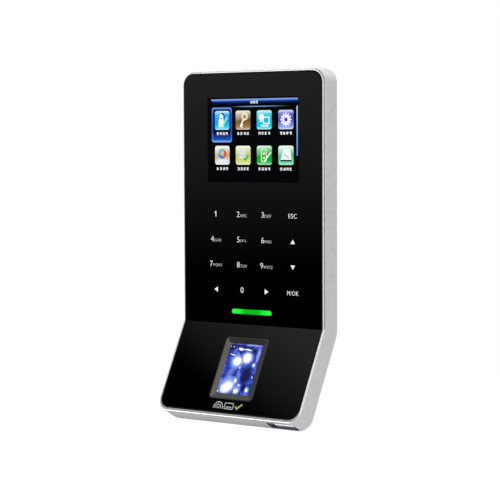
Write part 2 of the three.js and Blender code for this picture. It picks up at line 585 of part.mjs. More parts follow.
function rearCover() {
  const boxEdge = [[COVER.back - 0.6, 0], [BOX.back - 0.8, 0], [BOX.back, 0.8]];
  const sensorEdge = [[COVER.back - 0.6, 0], [SENSOR_BOX.back - 1, 0], [SENSOR_BOX.back, 1]];
  const box = { x0: -BOX.halfWidth, x1: BOX.halfWidth, y0: BOX.bottom, y1: BOX.top, radius: 4 };
  const sensorBox = {
    x0: -SENSOR_BOX.halfWidth,
    x1: SENSOR_BOX.halfWidth,
    y0: -SENSOR_BOX.bottom,
    y1: -SENSOR_BOX.top,
    radius: 3,
  };
  const shrink = ({ x0, x1, y0, y1, radius }) => ({
    x0: x0 + SKIN, x1: x1 - SKIN, y0: y0 + SKIN, y1: y1 - SKIN, radius: radius - SKIN,
  });
  const hollows = [
    taperedBlock(shrink(box), [[COVER.front - 1, 0], [BOX.floor - SKIN, 0]]),
    fold(taperedBlock(shrink(sensorBox), [[COVER.front - 1, 0], [SENSOR_BOX.back - SKIN, 0]])),
    fold(block(-5, 5, -9.2, -0.5, COVER.front - 0.5, COVER.front + 0.95)), // way for the sensor's cable
  ];
  const sheet = bentBlock(bodyOutline(REBATE_WALL + COVER_GAP), [[COVER.front, 0], [COVER.back, 0]]);
  const skin = shaped(sheet, {
    add: [taperedBlock(box, boxEdge), fold(taperedBlock(sensorBox, sensorEdge))],
    remove: hollows,
  });

  const screwBlock = [
    bar(0, SECURITY_DEPTH, 2.6, BOX.bottom + 0.2, 8),
    block(-2.6, 2.6, BOX.bottom + 0.2, 8, SECURITY_DEPTH, BOX.floor - 1),
  ];
  const recess = [
    block(-PLATE.halfWidth - 0.7, PLATE.halfWidth + 0.7, PLATE.bottom - LIFT - 0.5, PLATE.top + 0.6,
      BOX.floor, BOX.back + 1),
    block(-LUG.halfWidth - 0.7, LUG.halfWidth + 0.7, BOX.bottom - 1, PLATE.bottom, BOX.floor, BOX.back + 1),
  ];
  const through = (x, y, radius) => post(x, y, radius, BOX.floor - SKIN - 1, BOX.floor + 1);
  const bay = rounded(-BAY.halfWidth, BAY.halfWidth, BAY.bottom, BAY.top, 2);
  const openings = [
    plate(bay, BOX.floor - SKIN - 1, BOX.floor + 1),
    through(TAMPER.x, TAMPER.y, 2.25),
    through(RESET.x, RESET.y, 1.5),
    bar(0, SECURITY_DEPTH, 2.1, BOX.bottom - 1, 6.2),
  ];
  const hookSlots = HOOK.rows.flatMap((y) => [-HOOK.x, HOOK.x].map((x) => block(
    x - HOOK.width / 2 - 0.4, x + HOOK.width / 2 + 0.4,
    y - LIFT - 0.4, y + HOOK.stem + 0.3, BOX.floor - SKIN - 1, BOX.floor + 1,
  )));
  const soundSlots = [60, 64, 68, 72].map((y) => block(
    BOX.halfWidth - SKIN - 1, BOX.halfWidth + 1, y, y + 1.4, 12, 15.5,
  ));
  const screwHoles = (spots, into) => spots.flatMap(([x, y]) => [
    into(post(x, y, 1.4, COVER.front - 1, COVER.back + 1, 16)),
    into(post(x, y, 2.4, COVER.back - 0.9, COVER.back + 1)),
  ]);
  return shaped(shaped(skin, { add: screwBlock }), {
    remove: [
      ...recess,
      ...openings,
      ...hookSlots,
      ...soundSlots,
      ...screwHoles(UPPER_COVER_POSTS, (piece) => piece),
      ...screwHoles(LOWER_COVER_POSTS, fold),
    ],
  });
}

place(upper, 'back_cover', rearCover(), finish(0x2c2d2f, 0.6));

// ---- Screws of the body -------------------------------------------------------------------------

/** A round-headed screw whose head is at the rear, with a cross slot. */
function screw(x, y, headRadius, shankRadius, tip, seat, headHeight) {
  const end = seat + headHeight;
  const profile = [[0, tip], [shankRadius * 0.5, tip], [shankRadius, tip + 0.6], [shankRadius, seat],
    [headRadius, seat], [headRadius, end - 0.3], [headRadius - 0.4, end], [0, end]];
  const arm = headRadius * 0.6;
  const slots = [
    block(x - arm, x + arm, y - 0.22, y + 0.22, end - 0.35, end + 1),
    block(x - 0.22, x + 0.22, y - arm, y + arm, end - 0.35, end + 1),
  ];
  return shaped(turned(x, y, profile, 10), { remove: slots });
}

function placeScrews(group, stem, spots, sizes, first = 1) {
  spots.forEach(([x, y], i) => {
    place(group, `${stem}_${first + i}`, screw(x, y, ...sizes), finish(0x8c8f93, 0.35, 0.9));
  });
}

const COVER_SCREW = [2.1, 1.1, 4.4, COVER.back - 0.85, 0.8];
const BOARD_SCREW = [2.2, 1, 4.4, ON_BOARD, 1.3];
placeScrews(upper, 'cover_screw', UPPER_COVER_POSTS, COVER_SCREW);
placeScrews(lower, 'cover_screw', LOWER_COVER_POSTS, COVER_SCREW, UPPER_COVER_POSTS.length + 1);
placeScrews(upper, 'board_screw', BOARD_POSTS, BOARD_SCREW);

// ---- Wall plate and security screw --------------------------------------------------------------

const WALL_HOLES = [[-21, 74], [21, 74], [0, 99], [0, 47.5]];

function wallPlate() {
  const sheet = rounded(-PLATE.halfWidth, PLATE.halfWidth, PLATE.bottom, PLATE.top, 3);
  const tongue = block(-LUG.halfWidth, LUG.halfWidth, LUG.bottom, PLATE.bottom + 1, PLATE.front, PLATE.back);
  const lug = block(-LUG.halfWidth, LUG.halfWidth, LUG.bottom, LUG.top, LUG.front, PLATE.back);
  const hooks = HOOK.rows.flatMap((y) => [-HOOK.x, HOOK.x].flatMap((x) => {
    const [x0, x1] = [x - HOOK.width / 2, x + HOOK.width / 2];
    const finger = HOOK.front + HOOK.thickness;
    return [
      block(x0, x1, y, y + HOOK.stem, HOOK.front, PLATE.back),
      block(x0, x1, y, y + HOOK.stem + HOOK.tip, HOOK.front, finger),
    ];
  }));
  const { halfWidth, bottom, top } = PLATE_HOLE;
  const holes = [
    plate(rounded(-halfWidth, halfWidth, bottom, top, 3), PLATE.front - 1, PLATE.back + 1),
    bar(0, SECURITY_DEPTH, 1.7, LUG.bottom - 1, LUG.top + 1),
    ...WALL_HOLES.map(([x, y]) => post(x, y, 2.25, PLATE.front - 1, PLATE.back + 1)),
  ];
  return shaped(plate(sheet, PLATE.front, PLATE.back, 4), { add: [tongue, lug, ...hooks], remove: holes });
}

const SCREW_HEAD = { radius: 2.6, bottom: -4.4, top: -2.2 };

/** A turned piece on the security screw's upright axis. */
function upright(profile, segments = 16) {
  const points = profile.map(([radius, y]) => new THREE.Vector2(radius, y));
  return new THREE.LatheGeometry(points, segments).translate(0, 0, -SECURITY_DEPTH);
}

function securityScrew() {
  const { radius, bottom, top } = SCREW_HEAD;
  const profile = [[0, bottom], [radius - 0.4, bottom], [radius, bottom + 0.4], [radius, top], [1.4, top],
    [1.4, 4.8], [1, 5.2], [0, 5.2]];
  const socket = new THREE.CylinderGeometry(1.15, 1.15, 3, 6).translate(0, bottom, -SECURITY_DEPTH);
  return shaped(upright(profile), { remove: [socket] });
}

function tube(inner, outer, y0, y1) {
  return upright([[inner, y0], [outer, y0], [outer, y1], [inner, y1], [inner, y0]]);
}

place(upper, 'wall_plate', wallPlate(), finish(0x9fa3a6, 0.4, 0.9));
place(upper, 'threaded_insert', tube(1.65, 2, BOX.bottom + 0.05, 6), finish(0xb58a3a, 0.35, 1));
place(upper, 'security_washer', tube(1.6, 3, -2.1, -1.4), finish(0x8c8f93, 0.35, 0.9));
place(upper, 'security_screw', securityScrew(), finish(0x8c8f93, 0.35, 0.9));

export default terminal;
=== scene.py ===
"""A wall-mounted fingerprint terminal: bent silver housing, black glass front with a colour display,
touch keypad, status bar, optical finger sensor and a USB socket in the bottom edge.

Sizes are millimetres and become metres where a mesh is made. Front pieces are drawn in the frame of
their own section: X across, Y up along the front, Z out of the front, from the middle of the bend.
A depth n behind the front plane is z = -n. A colour is six hexadecimal digits or one grey level.
"""

import json
import math
import random

import bmesh
import bpy
from mathutils import Matrix, Vector


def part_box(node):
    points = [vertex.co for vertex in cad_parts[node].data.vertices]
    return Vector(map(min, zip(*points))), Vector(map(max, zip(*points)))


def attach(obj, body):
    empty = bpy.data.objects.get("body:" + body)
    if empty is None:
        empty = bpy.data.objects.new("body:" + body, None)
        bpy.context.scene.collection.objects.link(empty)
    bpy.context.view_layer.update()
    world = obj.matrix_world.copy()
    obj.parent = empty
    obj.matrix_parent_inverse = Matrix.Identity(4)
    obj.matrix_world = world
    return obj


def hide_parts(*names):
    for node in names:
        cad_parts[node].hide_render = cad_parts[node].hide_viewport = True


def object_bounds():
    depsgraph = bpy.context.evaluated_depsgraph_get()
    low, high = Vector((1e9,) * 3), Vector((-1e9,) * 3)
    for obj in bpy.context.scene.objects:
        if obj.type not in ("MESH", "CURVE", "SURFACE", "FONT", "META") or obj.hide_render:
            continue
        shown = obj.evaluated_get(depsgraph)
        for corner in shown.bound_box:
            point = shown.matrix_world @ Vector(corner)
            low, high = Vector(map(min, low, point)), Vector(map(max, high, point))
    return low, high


MM = 0.001
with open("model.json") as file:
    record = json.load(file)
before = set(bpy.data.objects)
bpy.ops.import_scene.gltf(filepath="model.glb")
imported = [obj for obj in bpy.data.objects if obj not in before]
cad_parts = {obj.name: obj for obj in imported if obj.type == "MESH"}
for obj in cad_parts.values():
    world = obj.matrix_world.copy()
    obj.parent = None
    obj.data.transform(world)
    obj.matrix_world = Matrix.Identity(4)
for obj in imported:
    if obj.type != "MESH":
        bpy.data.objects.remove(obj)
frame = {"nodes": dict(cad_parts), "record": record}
cad_low, cad_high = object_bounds()


# ---- Sizes from the frame ----


def node_box(name):
    """A CAD node's lowest and highest corners, in millimetres."""
    low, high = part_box(name)
    return low / MM, high / MM


def front_normal(name):
    """The direction that a CAD node's front looks in, from the faces that lean the least from -Y."""
    least = 0.8
    total = Vector()
    for face in frame["nodes"][name].data.polygons:
        if -face.normal.y > least:
            total += face.normal * face.area
    return total.normalized()


slope = front_normal("lower_panel")
KICK = math.atan2(slope.z, -slope.y)  # how far the lower section leans forward

housing_low, housing_high = node_box("frame_housing")
glass_low, _ = node_box("upper_glass")
PANEL_FRONT = 0.1  # depth of the glass behind the front plane
FRONT_Y = glass_low.y - PANEL_FRONT
CAD_BEND_GAP = 0.12  # from the CAD glass to the bend line
BEND_Z = glass_low.z - CAD_BEND_GAP
HALF_WIDTH = housing_high.x
TOP = housing_high.z - BEND_Z
EDGE_DEPTH = housing_high.y - FRONT_Y  # thickness of the silver edge
foot_drop = BEND_Z - housing_low.z - EDGE_DEPTH * math.sin(KICK)
BOTTOM = round(foot_drop / math.cos(KICK), 1)  # length of the lower section's front

CORNER = 6.2
LIP = 0.95  # silver edge beside and above the panels
FOOT_LIP = 1.4  # and below them
LIP_DEPTH = 0.55  # how far the lip rounds back at the body's edge
STEP = 0.45  # the upper section's front ring stands in from the shell behind it
FOOT_SETBACK = 0.15  # the bottom face runs in by this much towards the front
BEND_ROUNDING = 0.9  # radius of the bend, as a share of the depth
BEND_GAP = 0.01  # from each finished panel to the bend line

BEND = Matrix.Translation(Vector((0, FRONT_Y, BEND_Z)) * MM)
UPPER = BEND @ Matrix.Rotation(math.pi / 2, 4, "X")
LOWER = BEND @ Matrix.Rotation(math.pi / 2 - KICK, 4, "X")
FOLD = Matrix.Rotation(-KICK, 3, "X")  # turns a lower place into the upper frame


# ---- Outlines ----


def arc(x, y, radius, start, end, steps=10):
    """Points of an arc, with its angles in degrees."""
    angles = [math.radians(start + (end - start) * i / steps) for i in range(steps + 1)]
    return [(x + radius * math.cos(a), y + radius * math.sin(a)) for a in angles]


def rectangle(x0, x1, y0, y1):
    return [(x0, y0), (x1, y0), (x1, y1), (x0, y1)]


def rounded(x0, x1, y0, y1, radius, steps=8):
    """A rectangle with round corners, anticlockwise from its right bottom corner."""
    r = max(min(radius, (x1 - x0) / 2, (y1 - y0) / 2) - 1e-4, 1e-3)
    return (
        arc(x1 - r, y0 + r, r, -90, 0, steps)
        + arc(x1 - r, y1 - r, r, 0, 90, steps)
        + arc(x0 + r, y1 - r, r, 90, 180, steps)
        + arc(x0 + r, y0 + r, r, 180, 270, steps)
    )


def hollow(outer, inner):
    """A rounded rectangle and the one that is its hole."""
    return [rounded(*outer), rounded(*inner)[::-1]]


def circle(x, y, radius, steps=24):
    return arc(x, y, radius, 0, 360 * (1 - 1 / steps), steps - 1)


def arc_band(x, y, outer, inner, start, end, steps=10):
    """A slice of a ring."""
    return arc(x, y, outer, start, end, steps) + arc(x, y, inner, end, start, steps)


def moved(points, x=0.0, y=0.0, turn=0.0):
    """Points turned by an angle in degrees and then moved."""
    c, s = math.cos(math.radians(turn)), math.sin(math.radians(turn))
    return [(x + c * px - s * py, y + s * px + c * py) for px, py in points]


# ---- Meshes ----


def in_scene(name, data):
    """A new object, in the scene."""
    made = bpy.data.objects.new(name, data)
    bpy.context.scene.collection.objects.link(made)
    return made


def as_object(name, mesh, material, place, body="terminal", replaces=(), sharp=32):
    """Puts a millimetre mesh in place, shades it smooth between sharp edges and rides it on a body."""
    mesh.transform(Matrix.Scale(MM, 4))
    mesh.name = name
    for one in material if isinstance(material, (list, tuple)) else [material]:
        mesh.materials.append(one)
    mesh.shade_smooth()
    mesh.set_sharp_from_angle(angle=math.radians(sharp))
    piece = in_scene(name, mesh)
    piece.matrix_world = place
    weighted = piece.modifiers.new("weighted_normals", "WEIGHTED_NORMAL")
    weighted.keep_sharp = True
    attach(piece, body)
    if replaces:
        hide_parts(*replaces)


def final_mesh(holder):
    """The mesh that an object's curve, letters or modifiers make."""
    bpy.context.view_layer.update()
    return bpy.data.meshes.new_from_object(
        holder.evaluated_get(bpy.context.evaluated_depsgraph_get())
    )


def curve_mesh(curve):
    """The mesh of a curve or of letters, which are then removed."""
    holder = in_scene("holder", curve)
    mesh = final_mesh(holder)
    bpy.data.objects.remove(holder)
    bpy.data.curves.remove(curve)
    return mesh


def work_mesh(work):
    """The mesh of a bmesh, which is then freed."""
    mesh = bpy.data.meshes.new("work")
    work.to_mesh(mesh)
    work.free()
    return mesh


def weld(mesh, distance=1e-3):
    """Merges doubled points and turns the faces outwards."""
    work = bmesh.new()
    work.from_mesh(mesh)
    bmesh.ops.remove_doubles(work, verts=work.verts, dist=distance)
    bmesh.ops.dissolve_degenerate(work, edges=work.edges, dist=distance / 10)
    bmesh.ops.recalc_face_normals(work, faces=work.faces)
    work.to_mesh(mesh)
    work.free()


def flat_mesh(loops, front, back, bevel=0.0):
    """A flat piece between two depths; a loop drawn the other way round inside another is a hole."""
    curve = bpy.data.curves.new("outline", "CURVE")
    curve.dimensions = "2D"
    curve.fill_mode = "BOTH"
    curve.extrude = (back - front) / 2 - bevel
    curve.bevel_depth = bevel
    curve.bevel_resolution = 3
    curve.offset = -bevel
    for loop in loops:
        spline = curve.splines.new("POLY")
        spline.points.add(len(loop) - 1)
        for point, (x, y) in zip(spline.points, loop):
            point.co = (x, y, 0, 1)
        spline.use_cyclic_u = True
    mesh = curve_mesh(curve)
    mesh.transform(Matrix.Translation((0, 0, -(front + back) / 2)))
    weld(mesh)
    return mesh


def joined(meshes, materials=None):
    """One mesh from several. materials gives each one's material index."""
    work = bmesh.new()
    for i, mesh in enumerate(meshes):
        start = len(work.faces)
        work.from_mesh(mesh)
        work.faces.ensure_lookup_table()
        for face in work.faces[start:]:
            face.material_index = materials[i] if materials else 0
    return work_mesh(work)


def skinned(rings, closed=True):
    """Skins rows of rings. Closed joins the last ring to the first; open ends in two flat caps."""
    work = bmesh.new()
    rows = [[work.verts.new(point) for point in one] for one in rings]
    count = len(rings[0])
    for a, b in zip(rows, rows[1:] + (rows[:1] if closed else [])):
        for i in range(count):
            j = (i + 1) % count
            work.faces.new((a[i], a[j], b[j], b[i]))
    if not closed:
        work.faces.new(rows[0])
        work.faces.new(rows[-1])
    bmesh.ops.recalc_face_normals(work, faces=work.faces)
    return work_mesh(work)


def cut(mesh, tool):
    """The mesh less the tool, both closed."""
    target, cutter = in_scene("target", mesh), in_scene("cutter", tool)
    boolean = target.modifiers.new("cut", "BOOLEAN")
    boolean.operation = "DIFFERENCE"
    boolean.solver = "EXACT"
    boolean.object = cutter
    result = final_mesh(target)
    bpy.data.objects.remove(target)
    bpy.data.objects.remove(cutter)
    return result


# ---- Materials ----


def rgba(colour):
    """Four numbers from six hexadecimal digits or a grey level; four numbers stay as they are."""
    if isinstance(colour, (int, float)):
        return (colour, colour, colour, 1)
    if not isinstance(colour, str):
        return colour
    parts = [int(colour[i : i + 2], 16) / 255 for i in (0, 2, 4)]
    return (*[c / 12.92 if c <= 0.04045 else ((c + 0.055) / 1.055) ** 2.4 for c in parts], 1)


def toned(colour, factor):
    """A colour made darker or lighter."""
    return (*[min(c * factor, 1) for c in rgba(colour)[:3]], 1)


class Nodes:
    """A node tree with short ways to add nodes."""

    def __init__(self, tree):
        self.tree = tree

    def feed(self, socket, value):
        """Links a socket to another or sets its value."""
        if isinstance(value, bpy.types.NodeSocket):
            self.tree.links.new(value, socket)
        else:
            socket.default_value = rgba(value) if socket.type == "RGBA" else value

    def add(self, kind, inputs=None, **settings):
        node = self.tree.nodes.new(kind)
        for name, value in settings.items():
            setattr(node, name, value)
        for key, value in (inputs or {}).items():
            self.feed(node.inputs[key], value)
        return node

    def math(self, operation, a, b=0.0, clamp=False):
        return self.add("ShaderNodeMath", {0: a, 1: b}, operation=operation, use_clamp=clamp).outputs[0]

    def vector(self, operation, a, b=(0, 0, 0)):
        outputs = self.add("ShaderNodeVectorMath", {0: a, 1: b}, operation=operation).outputs
        return outputs["Value" if operation in ("LENGTH", "DOT_PRODUCT") else "Vector"]

    def ranged(self, value, low, high, to_low=0.0, to_high=1.0, smooth=True):
        kind = "SMOOTHSTEP" if smooth else "LINEAR"
        inputs = {"Value": value, "From Min": low, "From Max": high, "To Min": to_low, "To Max": to_high}
        return self.add("ShaderNodeMapRange", inputs, interpolation_type=kind).outputs["Result"]

    def ramp(self, value, stops):
        """A colour ramp, from (position, colour) stops."""
        node = self.add("ShaderNodeValToRGB", {"Fac": value})
        points = node.color_ramp.elements
        while len(points) < len(stops):
            points.new(0.5)
        for point, (position, colour) in zip(points, stops):
            point.position = position
            point.color = rgba(colour)
        return node.outputs["Color"]

    def blend(self, a, share, b):
        """A weighted mean of two values: b by its share and a by the rest."""
        return self.math("ADD", self.math("MULTIPLY", a, 1 - share), self.math("MULTIPLY", b, share))

    def mix(self, amount, a, b):
        """Two colours, from a at 0 to b at 1."""
        node = self.add("ShaderNodeMix", data_type="RGBA")
        for name, value in (("Factor", amount), ("A", a), ("B", b)):
            self.feed(node.inputs[name], value)
        return node.outputs["Result"]


class Shader(Nodes):
    """A Principled material."""

    def __init__(self, name, **sockets):
        self.material = bpy.data.materials.new(name)
        self.material.use_nodes = True
        super().__init__(self.material.node_tree)
        self.bsdf = self.tree.nodes["Principled BSDF"]
        for socket, value in sockets.items():
            self.set(socket.replace("_", " ").title().replace("Ior", "IOR"), value)
        self.place = self.add("ShaderNodeTexCoord").outputs["Object"]

    def set(self, socket, value):
        self.feed(self.bsdf.inputs[socket], value)

    def noise(self, size, detail=2.0, roughness=0.5, place=None, distortion=0.0):
        """Noise whose grains are about size millimetres across."""
        inputs = {
            "Vector": place or self.place,
            "Scale": 1 / (size * MM),
            "Detail": detail,
            "Roughness": roughness,
            "Distortion": distortion,
        }
        return self.add("ShaderNodeTexNoise", inputs).outputs["Fac"]

    def bump(self, height, depth, strength=1.0):
        """Relief of a depth in millimetres."""
        inputs = {"Height": height, "Distance": depth * MM, "Strength": strength}
        self.set("Normal", self.add("ShaderNodeBump", inputs).outputs["Normal"])

    def axes(self):
        """The place as x, y and z in millimetres."""
        parts = self.add("ShaderNodeSeparateXYZ", {"Vector": self.place}).outputs
        return [self.math("MULTIPLY", parts[axis], 1 / MM) for axis in "XYZ"]

    def glowing(self, colour, strength=1.0):
        """The finished material, lit from inside."""
        self.set("Emission Color", colour)
        self.set("Emission Strength", strength)
        return self.material


def speckled(name, colour, spread, grain, roughness, relief, coat=0.0, **sockets):
    """A surface with a fine grain: a colour that varies a little, uneven roughness and relief."""
    shader = Shader(name, coat_weight=coat, **sockets)
    fine = shader.noise(grain, 3, 0.6)
    wide = shader.noise(grain * 40)
    stops = [(0.35, toned(colour, 1 - spread)), (0.65, toned(colour, 1 + spread))]
    shader.set("Base Color", shader.ramp(shader.blend(fine, 0.25, wide), stops))
    shader.set("Roughness", shader.ranged(wide, 0.3, 0.7, roughness - 0.05, roughness + 0.05))
    shader.bump(fine, relief)
    return shader.material


def silver_paint():
    """Fine metallic paint: bright flakes in a satin coat."""
    shader = Shader("silver_paint", metallic=0.82)
    flakes = shader.noise(0.16, 2, 0.7)
    cloud = shader.noise(2.2, 3, 0.55)
    stops = [(0.3, "babbbb"), (0.5, "cacbcb"), (0.72, "d9dada")]
    shader.set("Base Color", shader.ramp(shader.blend(flakes, 0.3, cloud), stops))
    shader.set("Roughness", shader.ranged(flakes, 0.25, 0.75, 0.24, 0.34))
    shader.bump(flakes, 0.006, 0.6)
    return shader.material


def gloss_black(name, tint="000001"):
    """Polished black glass with the faintest haze."""
    shader = Shader(name, base_color=tint, ior=1.5)
    haze = shader.noise(9, 4, 0.6)
    shader.set("Roughness", shader.ranged(haze, 0.3, 0.8, 0.025, 0.055))
    return shader.material


def brushed(name, colour, roughness=0.3, along="X"):
    """Plated sheet: fine rolling lines and a mottled shine."""
    shader = Shader(name, metallic=1.0)
    scale = [0.05 if axis == along else 1 for axis in "XYZ"]
    stretched = shader.add("ShaderNodeMapping", {"Vector": shader.place, "Scale": scale}).outputs[0]
    lines = shader.noise(0.12, 3, 0.6, stretched)
    tone = shader.blend(lines, 0.5, shader.noise(3.5))
    shader.set("Base Color", shader.ramp(tone, [(0.35, toned(colour, 0.82)), (0.65, colour)]))
    shader.set("Roughness", shader.ranged(lines, 0.3, 0.7, roughness - 0.07, roughness + 0.09))
    shader.bump(lines, 0.004, 0.5)
    return shader.material


def board_material():
    """Green solder mask with paler tracks under it."""
    shader = Shader("circuit_board", ior=1.5, coat_weight=0.4, coat_roughness=0.15)
    inputs = {
        "Vector": shader.place,
        "Scale": 1 / (4.2 * MM),
        "Mortar Size": 0.06,
        "Mortar Smooth": 0.4,
    }
    line = shader.add("ShaderNodeTexBrick", inputs).outputs["Fac"]
    shader.set("Base Color", shader.mix(line, "0c4a26", "1c6b3c"))
    shader.set("Roughness", shader.ranged(shader.noise(1.5), 0.3, 0.7, 0.32, 0.46))
    shader.bump(line, 0.02, 0.7)
    return shader.material


def printed(name, colour, strength):
    """A print on the glass, lit from behind and a little uneven."""
    shader = Shader(name, base_color="101010", ior=1.5, roughness=0.08)
    stops = [(0.3, toned(colour, 0.82)), (0.6, colour)]
    return shader.glowing(shader.ramp(shader.noise(0.8), stops), strength)


def screen_shader(name):
    """A black base without shine, for parts of the display picture that only glow."""
    return Shader(name, base_color="000000", roughness=0.3, specular_ior_level=0.0)


# ---- Housing ----


def bent_loop(inset, depth, foot=None, step=0.0):
    """Points once round the whole body, in the upper frame, at a depth and an inset from its outline.

    foot is the inset at the bottom edge, and the upper section is moved in by step as well.
    """
    foot = inset if foot is None else foot
    side = HALF_WIDTH - inset
    radius = max(BEND_ROUNDING * depth, 0.03)
    middle = depth - radius
    centre = Vector((0, -middle * math.tan(KICK / 2), -middle))
    bend = []
    for i in range(5):
        turn = Matrix.Rotation(-KICK * i / 4, 3, "X")
        bend.append(centre + turn @ Vector((0, 0, -radius)))
    right = [Vector((side, p.y, p.z)) for p in reversed(bend)]
    left = [Vector((-side, p.y, p.z)) for p in bend]

    corner = max(CORNER - inset, 0.4)
    stepped = side - step
    start = bend[0].y + 0.3  # just above the bend's own points
    x, y = stepped - corner, TOP - inset - step - corner
    upper = [(stepped, start), *arc(x, y, corner, 0, 90, 12)]
    upper += [*arc(-x, y, corner, 90, 180, 12), (-stepped, start)]

    x, y = side - corner, foot + corner - BOTTOM
    below = [*arc(-x, y, corner, 180, 270, 12), *arc(x, y, corner, 270, 360, 12)]
    points = right + [Vector((px, py, -depth)) for px, py in upper] + left
    return points + [FOLD @ Vector((px, py, -depth)) for px, py in below]


def lip_profile():
    """The front ring from its inner wall to its edge, as (inset, depth, foot inset, step)."""
    walls = [(0.0, 1.7), (0.0, 0.2), (0.03, 0.1), (0.09, 0.03)]
    rows = [(LIP - out, depth, FOOT_LIP - out, 0.0) for out, depth in walls]
    first = 26  # degrees of slope where the rounding starts
    reach = LIP - 0.14  # of the rounding, in from the edge
    foot_reach = FOOT_LIP - 0.15 - FOOT_SETBACK
    for angle in (first, 36, 47, 58, 69, 80, 90):
        a = math.radians(angle)
        share = (1 - math.sin(a)) / (1 - math.sin(math.radians(first)))
        fall = LIP_DEPTH * (1 - math.cos(a))
        rows.append((reach * share, fall, FOOT_SETBACK + foot_reach * share, STEP * (1 - share)))
    return rows


def housing_profile():
    """The wall's cross-section, once round, as (inset, depth, foot inset, step)."""
    rebate, skin, ledge = 1.4, 2.0, 3.3
    cover_front, web_front, web_back = 9.0, 1.7, 3.2
    back = EDGE_DEPTH
    groove = STEP + 0.35
    ring_edge = [(0.0, 0.6, 0.15, STEP), (0.0, 0.78, 0.147, STEP)]
    groove_walls = [(0.0, 0.8, 0.146, groove), (0.0, 1.05, 0.142, groove)]
    shell_edge = [
        (0.0, 1.07, 0.14, 0.2),
        (0.0, 1.15, 0.138, 0.1),
        (0.0, 1.35, 0.134, 0.03),
        (0.0, 1.65, 0.125),
    ]
    side = [(0.0, 2.7, 0.09), (0.0, 4.5, 0.04), (0.0, 6.2, 0.0), (0.0, 8.2, 0.0), (0.0, back - 0.9, 0.05)]
    rear = [
        (0.02, back - 0.4, 0.09),
        (0.08, back - 0.16, 0.14),
        (0.18, back - 0.04, 0.22),
        (0.35, back, 0.35),
    ]
    inside = [
        (rebate, back),
        (rebate, cover_front),
        (skin, cover_front),
        (skin, web_back),
        (ledge, web_back),
        (ledge, web_front),
    ]
    return lip_profile() + ring_edge + groove_walls + shell_edge + side + rear + inside


def usb_box():
    """The socket's shell in the lower frame: x0, x1, its front and back depths and its mouth."""
    low, high = node_box("usb_port_shell")
    inverse = LOWER.inverted()
    corners = [inverse @ vertex.co / MM for vertex in frame["nodes"]["usb_port_shell"].data.vertices]
    depths = [-corner.z for corner in corners]
    return low.x, high.x, min(depths), max(depths), -min(corner.y for corner in corners)


def usb_cutter():
    """The opening in the bottom wall, flared a little at its edge."""
    x0, x1, front, back, mouth = usb_box()
    side_gap, depth_gap = 0.55, 0.15
    layers = [(mouth - 6, 0.0), (BOTTOM - 0.25, 0.0), (BOTTOM + 0.05, 0.3), (BOTTOM + 2, 0.3)]
    rings = []
    for below, flare in layers:
        beside, beyond = side_gap + flare, flare + depth_gap
        outline = rounded(x0 - beside, x1 + beside, -back - beyond, -front + beyond, 0.8, 5)
        rings.append([FOLD @ Vector((x, -below, z)) for x, z in outline])
    tool = skinned(rings, closed=False)
    # Painted shadow: the opening's walls get the near-black material that stands in for the shade inside.
    for face in tool.polygons:
        face.material_index = 1  # the opening's walls are dark
    return tool


def housing():
    rings = [bent_loop(*row) for row in housing_profile()]
    shell = cut(skinned(rings), usb_cutter())
    weld(shell)
    # Painted shadow for the opening's walls: near-black, for the shade inside the opening.
    dark = speckled("opening_shadow", "0b0c10", 0.2, 0.3, 0.6, 0.004)
    as_object(
        "silver_housing",
        shell,
        [silver_paint(), dark],
        UPPER,
        replaces=["frame_housing"],
    )


# ---- Front panels ----

PANEL_GAP = 0.12
PANEL_BACK = 1.4
GROUND_EDGE = 0.5  # width of the glass's ground rim
SENSOR_X, SENSOR_TOP, SENSOR_BOTTOM = 8.75, 9.15, 33.2  # the finger window, down from the bend
RIM = 3.05  # width of the rim beside the window
RIM_TOP, RIM_BOTTOM = 6.3, 36.05


def sensor_hole():
    """The opening in the lower panel round the sensor's rim."""
    outer = SENSOR_X + RIM + 0.1
    return rounded(-outer, outer, -RIM_BOTTOM - 0.25, -RIM_TOP + 0.2, 1.55, 10)


def panel_outline(sign, inset, length, lip):
    """A panel's outline in from its edge: above the bend with sign 1 and below it with sign -1."""
    side = HALF_WIDTH - LIP - PANEL_GAP - inset
    end = length - lip - PANEL_GAP - inset  # lip is the lip beyond its far end
    radius = CORNER - LIP - PANEL_GAP - inset
    outline = [(side, BEND_GAP), *arc(side - radius, end - radius, radius, 0, 90, 16)]
    outline += [*arc(radius - side, end - radius, radius, 90, 180, 16), (-side, BEND_GAP)]
    if sign > 0:
        return outline
    return [(x, -y) for x, y in reversed(outline)]


def glass_panel(name, node, sign, length, lip, place, materials, holes=()):
    """A polished face, and its ground rim and back in the second material, as one closed piece."""
    front = PANEL_FRONT
    rim = [(GROUND_EDGE, front), (0.1, front + 0.05), (0.0, front + 0.13), (0.0, PANEL_BACK)]
    rings = []
    for inset, depth in rim:
        rings.append([(x, y, -depth) for x, y in panel_outline(sign, inset, length, lip)])
    mesh = skinned(rings, closed=False)
    for face in mesh.polygons:
        face.material_index = 1
    mesh.polygons[-2].material_index = 0  # the front cap
    for hole in holes:
        mesh = cut(mesh, flat_mesh([hole], -1.0, 3.0))
    weld(mesh)
    as_object(name, mesh, materials, place, replaces=[node], sharp=12)


def front_panels():
    ground = speckled("ground_glass_edge", "040404", 0.4, 0.12, 0.8, 0.002, specular_ior_level=0.12)
    glass = [gloss_black("polished_black_glass"), ground]
    panel = [gloss_black("polished_black_panel"), ground]
    glass_panel("display_glass", "upper_glass", 1, TOP, LIP, UPPER, glass)
    glass_panel("sensor_panel", "lower_panel", -1, BOTTOM, FOOT_LIP, LOWER, panel, [sensor_hole()])


# ---- Prints and lit parts on the glass ----

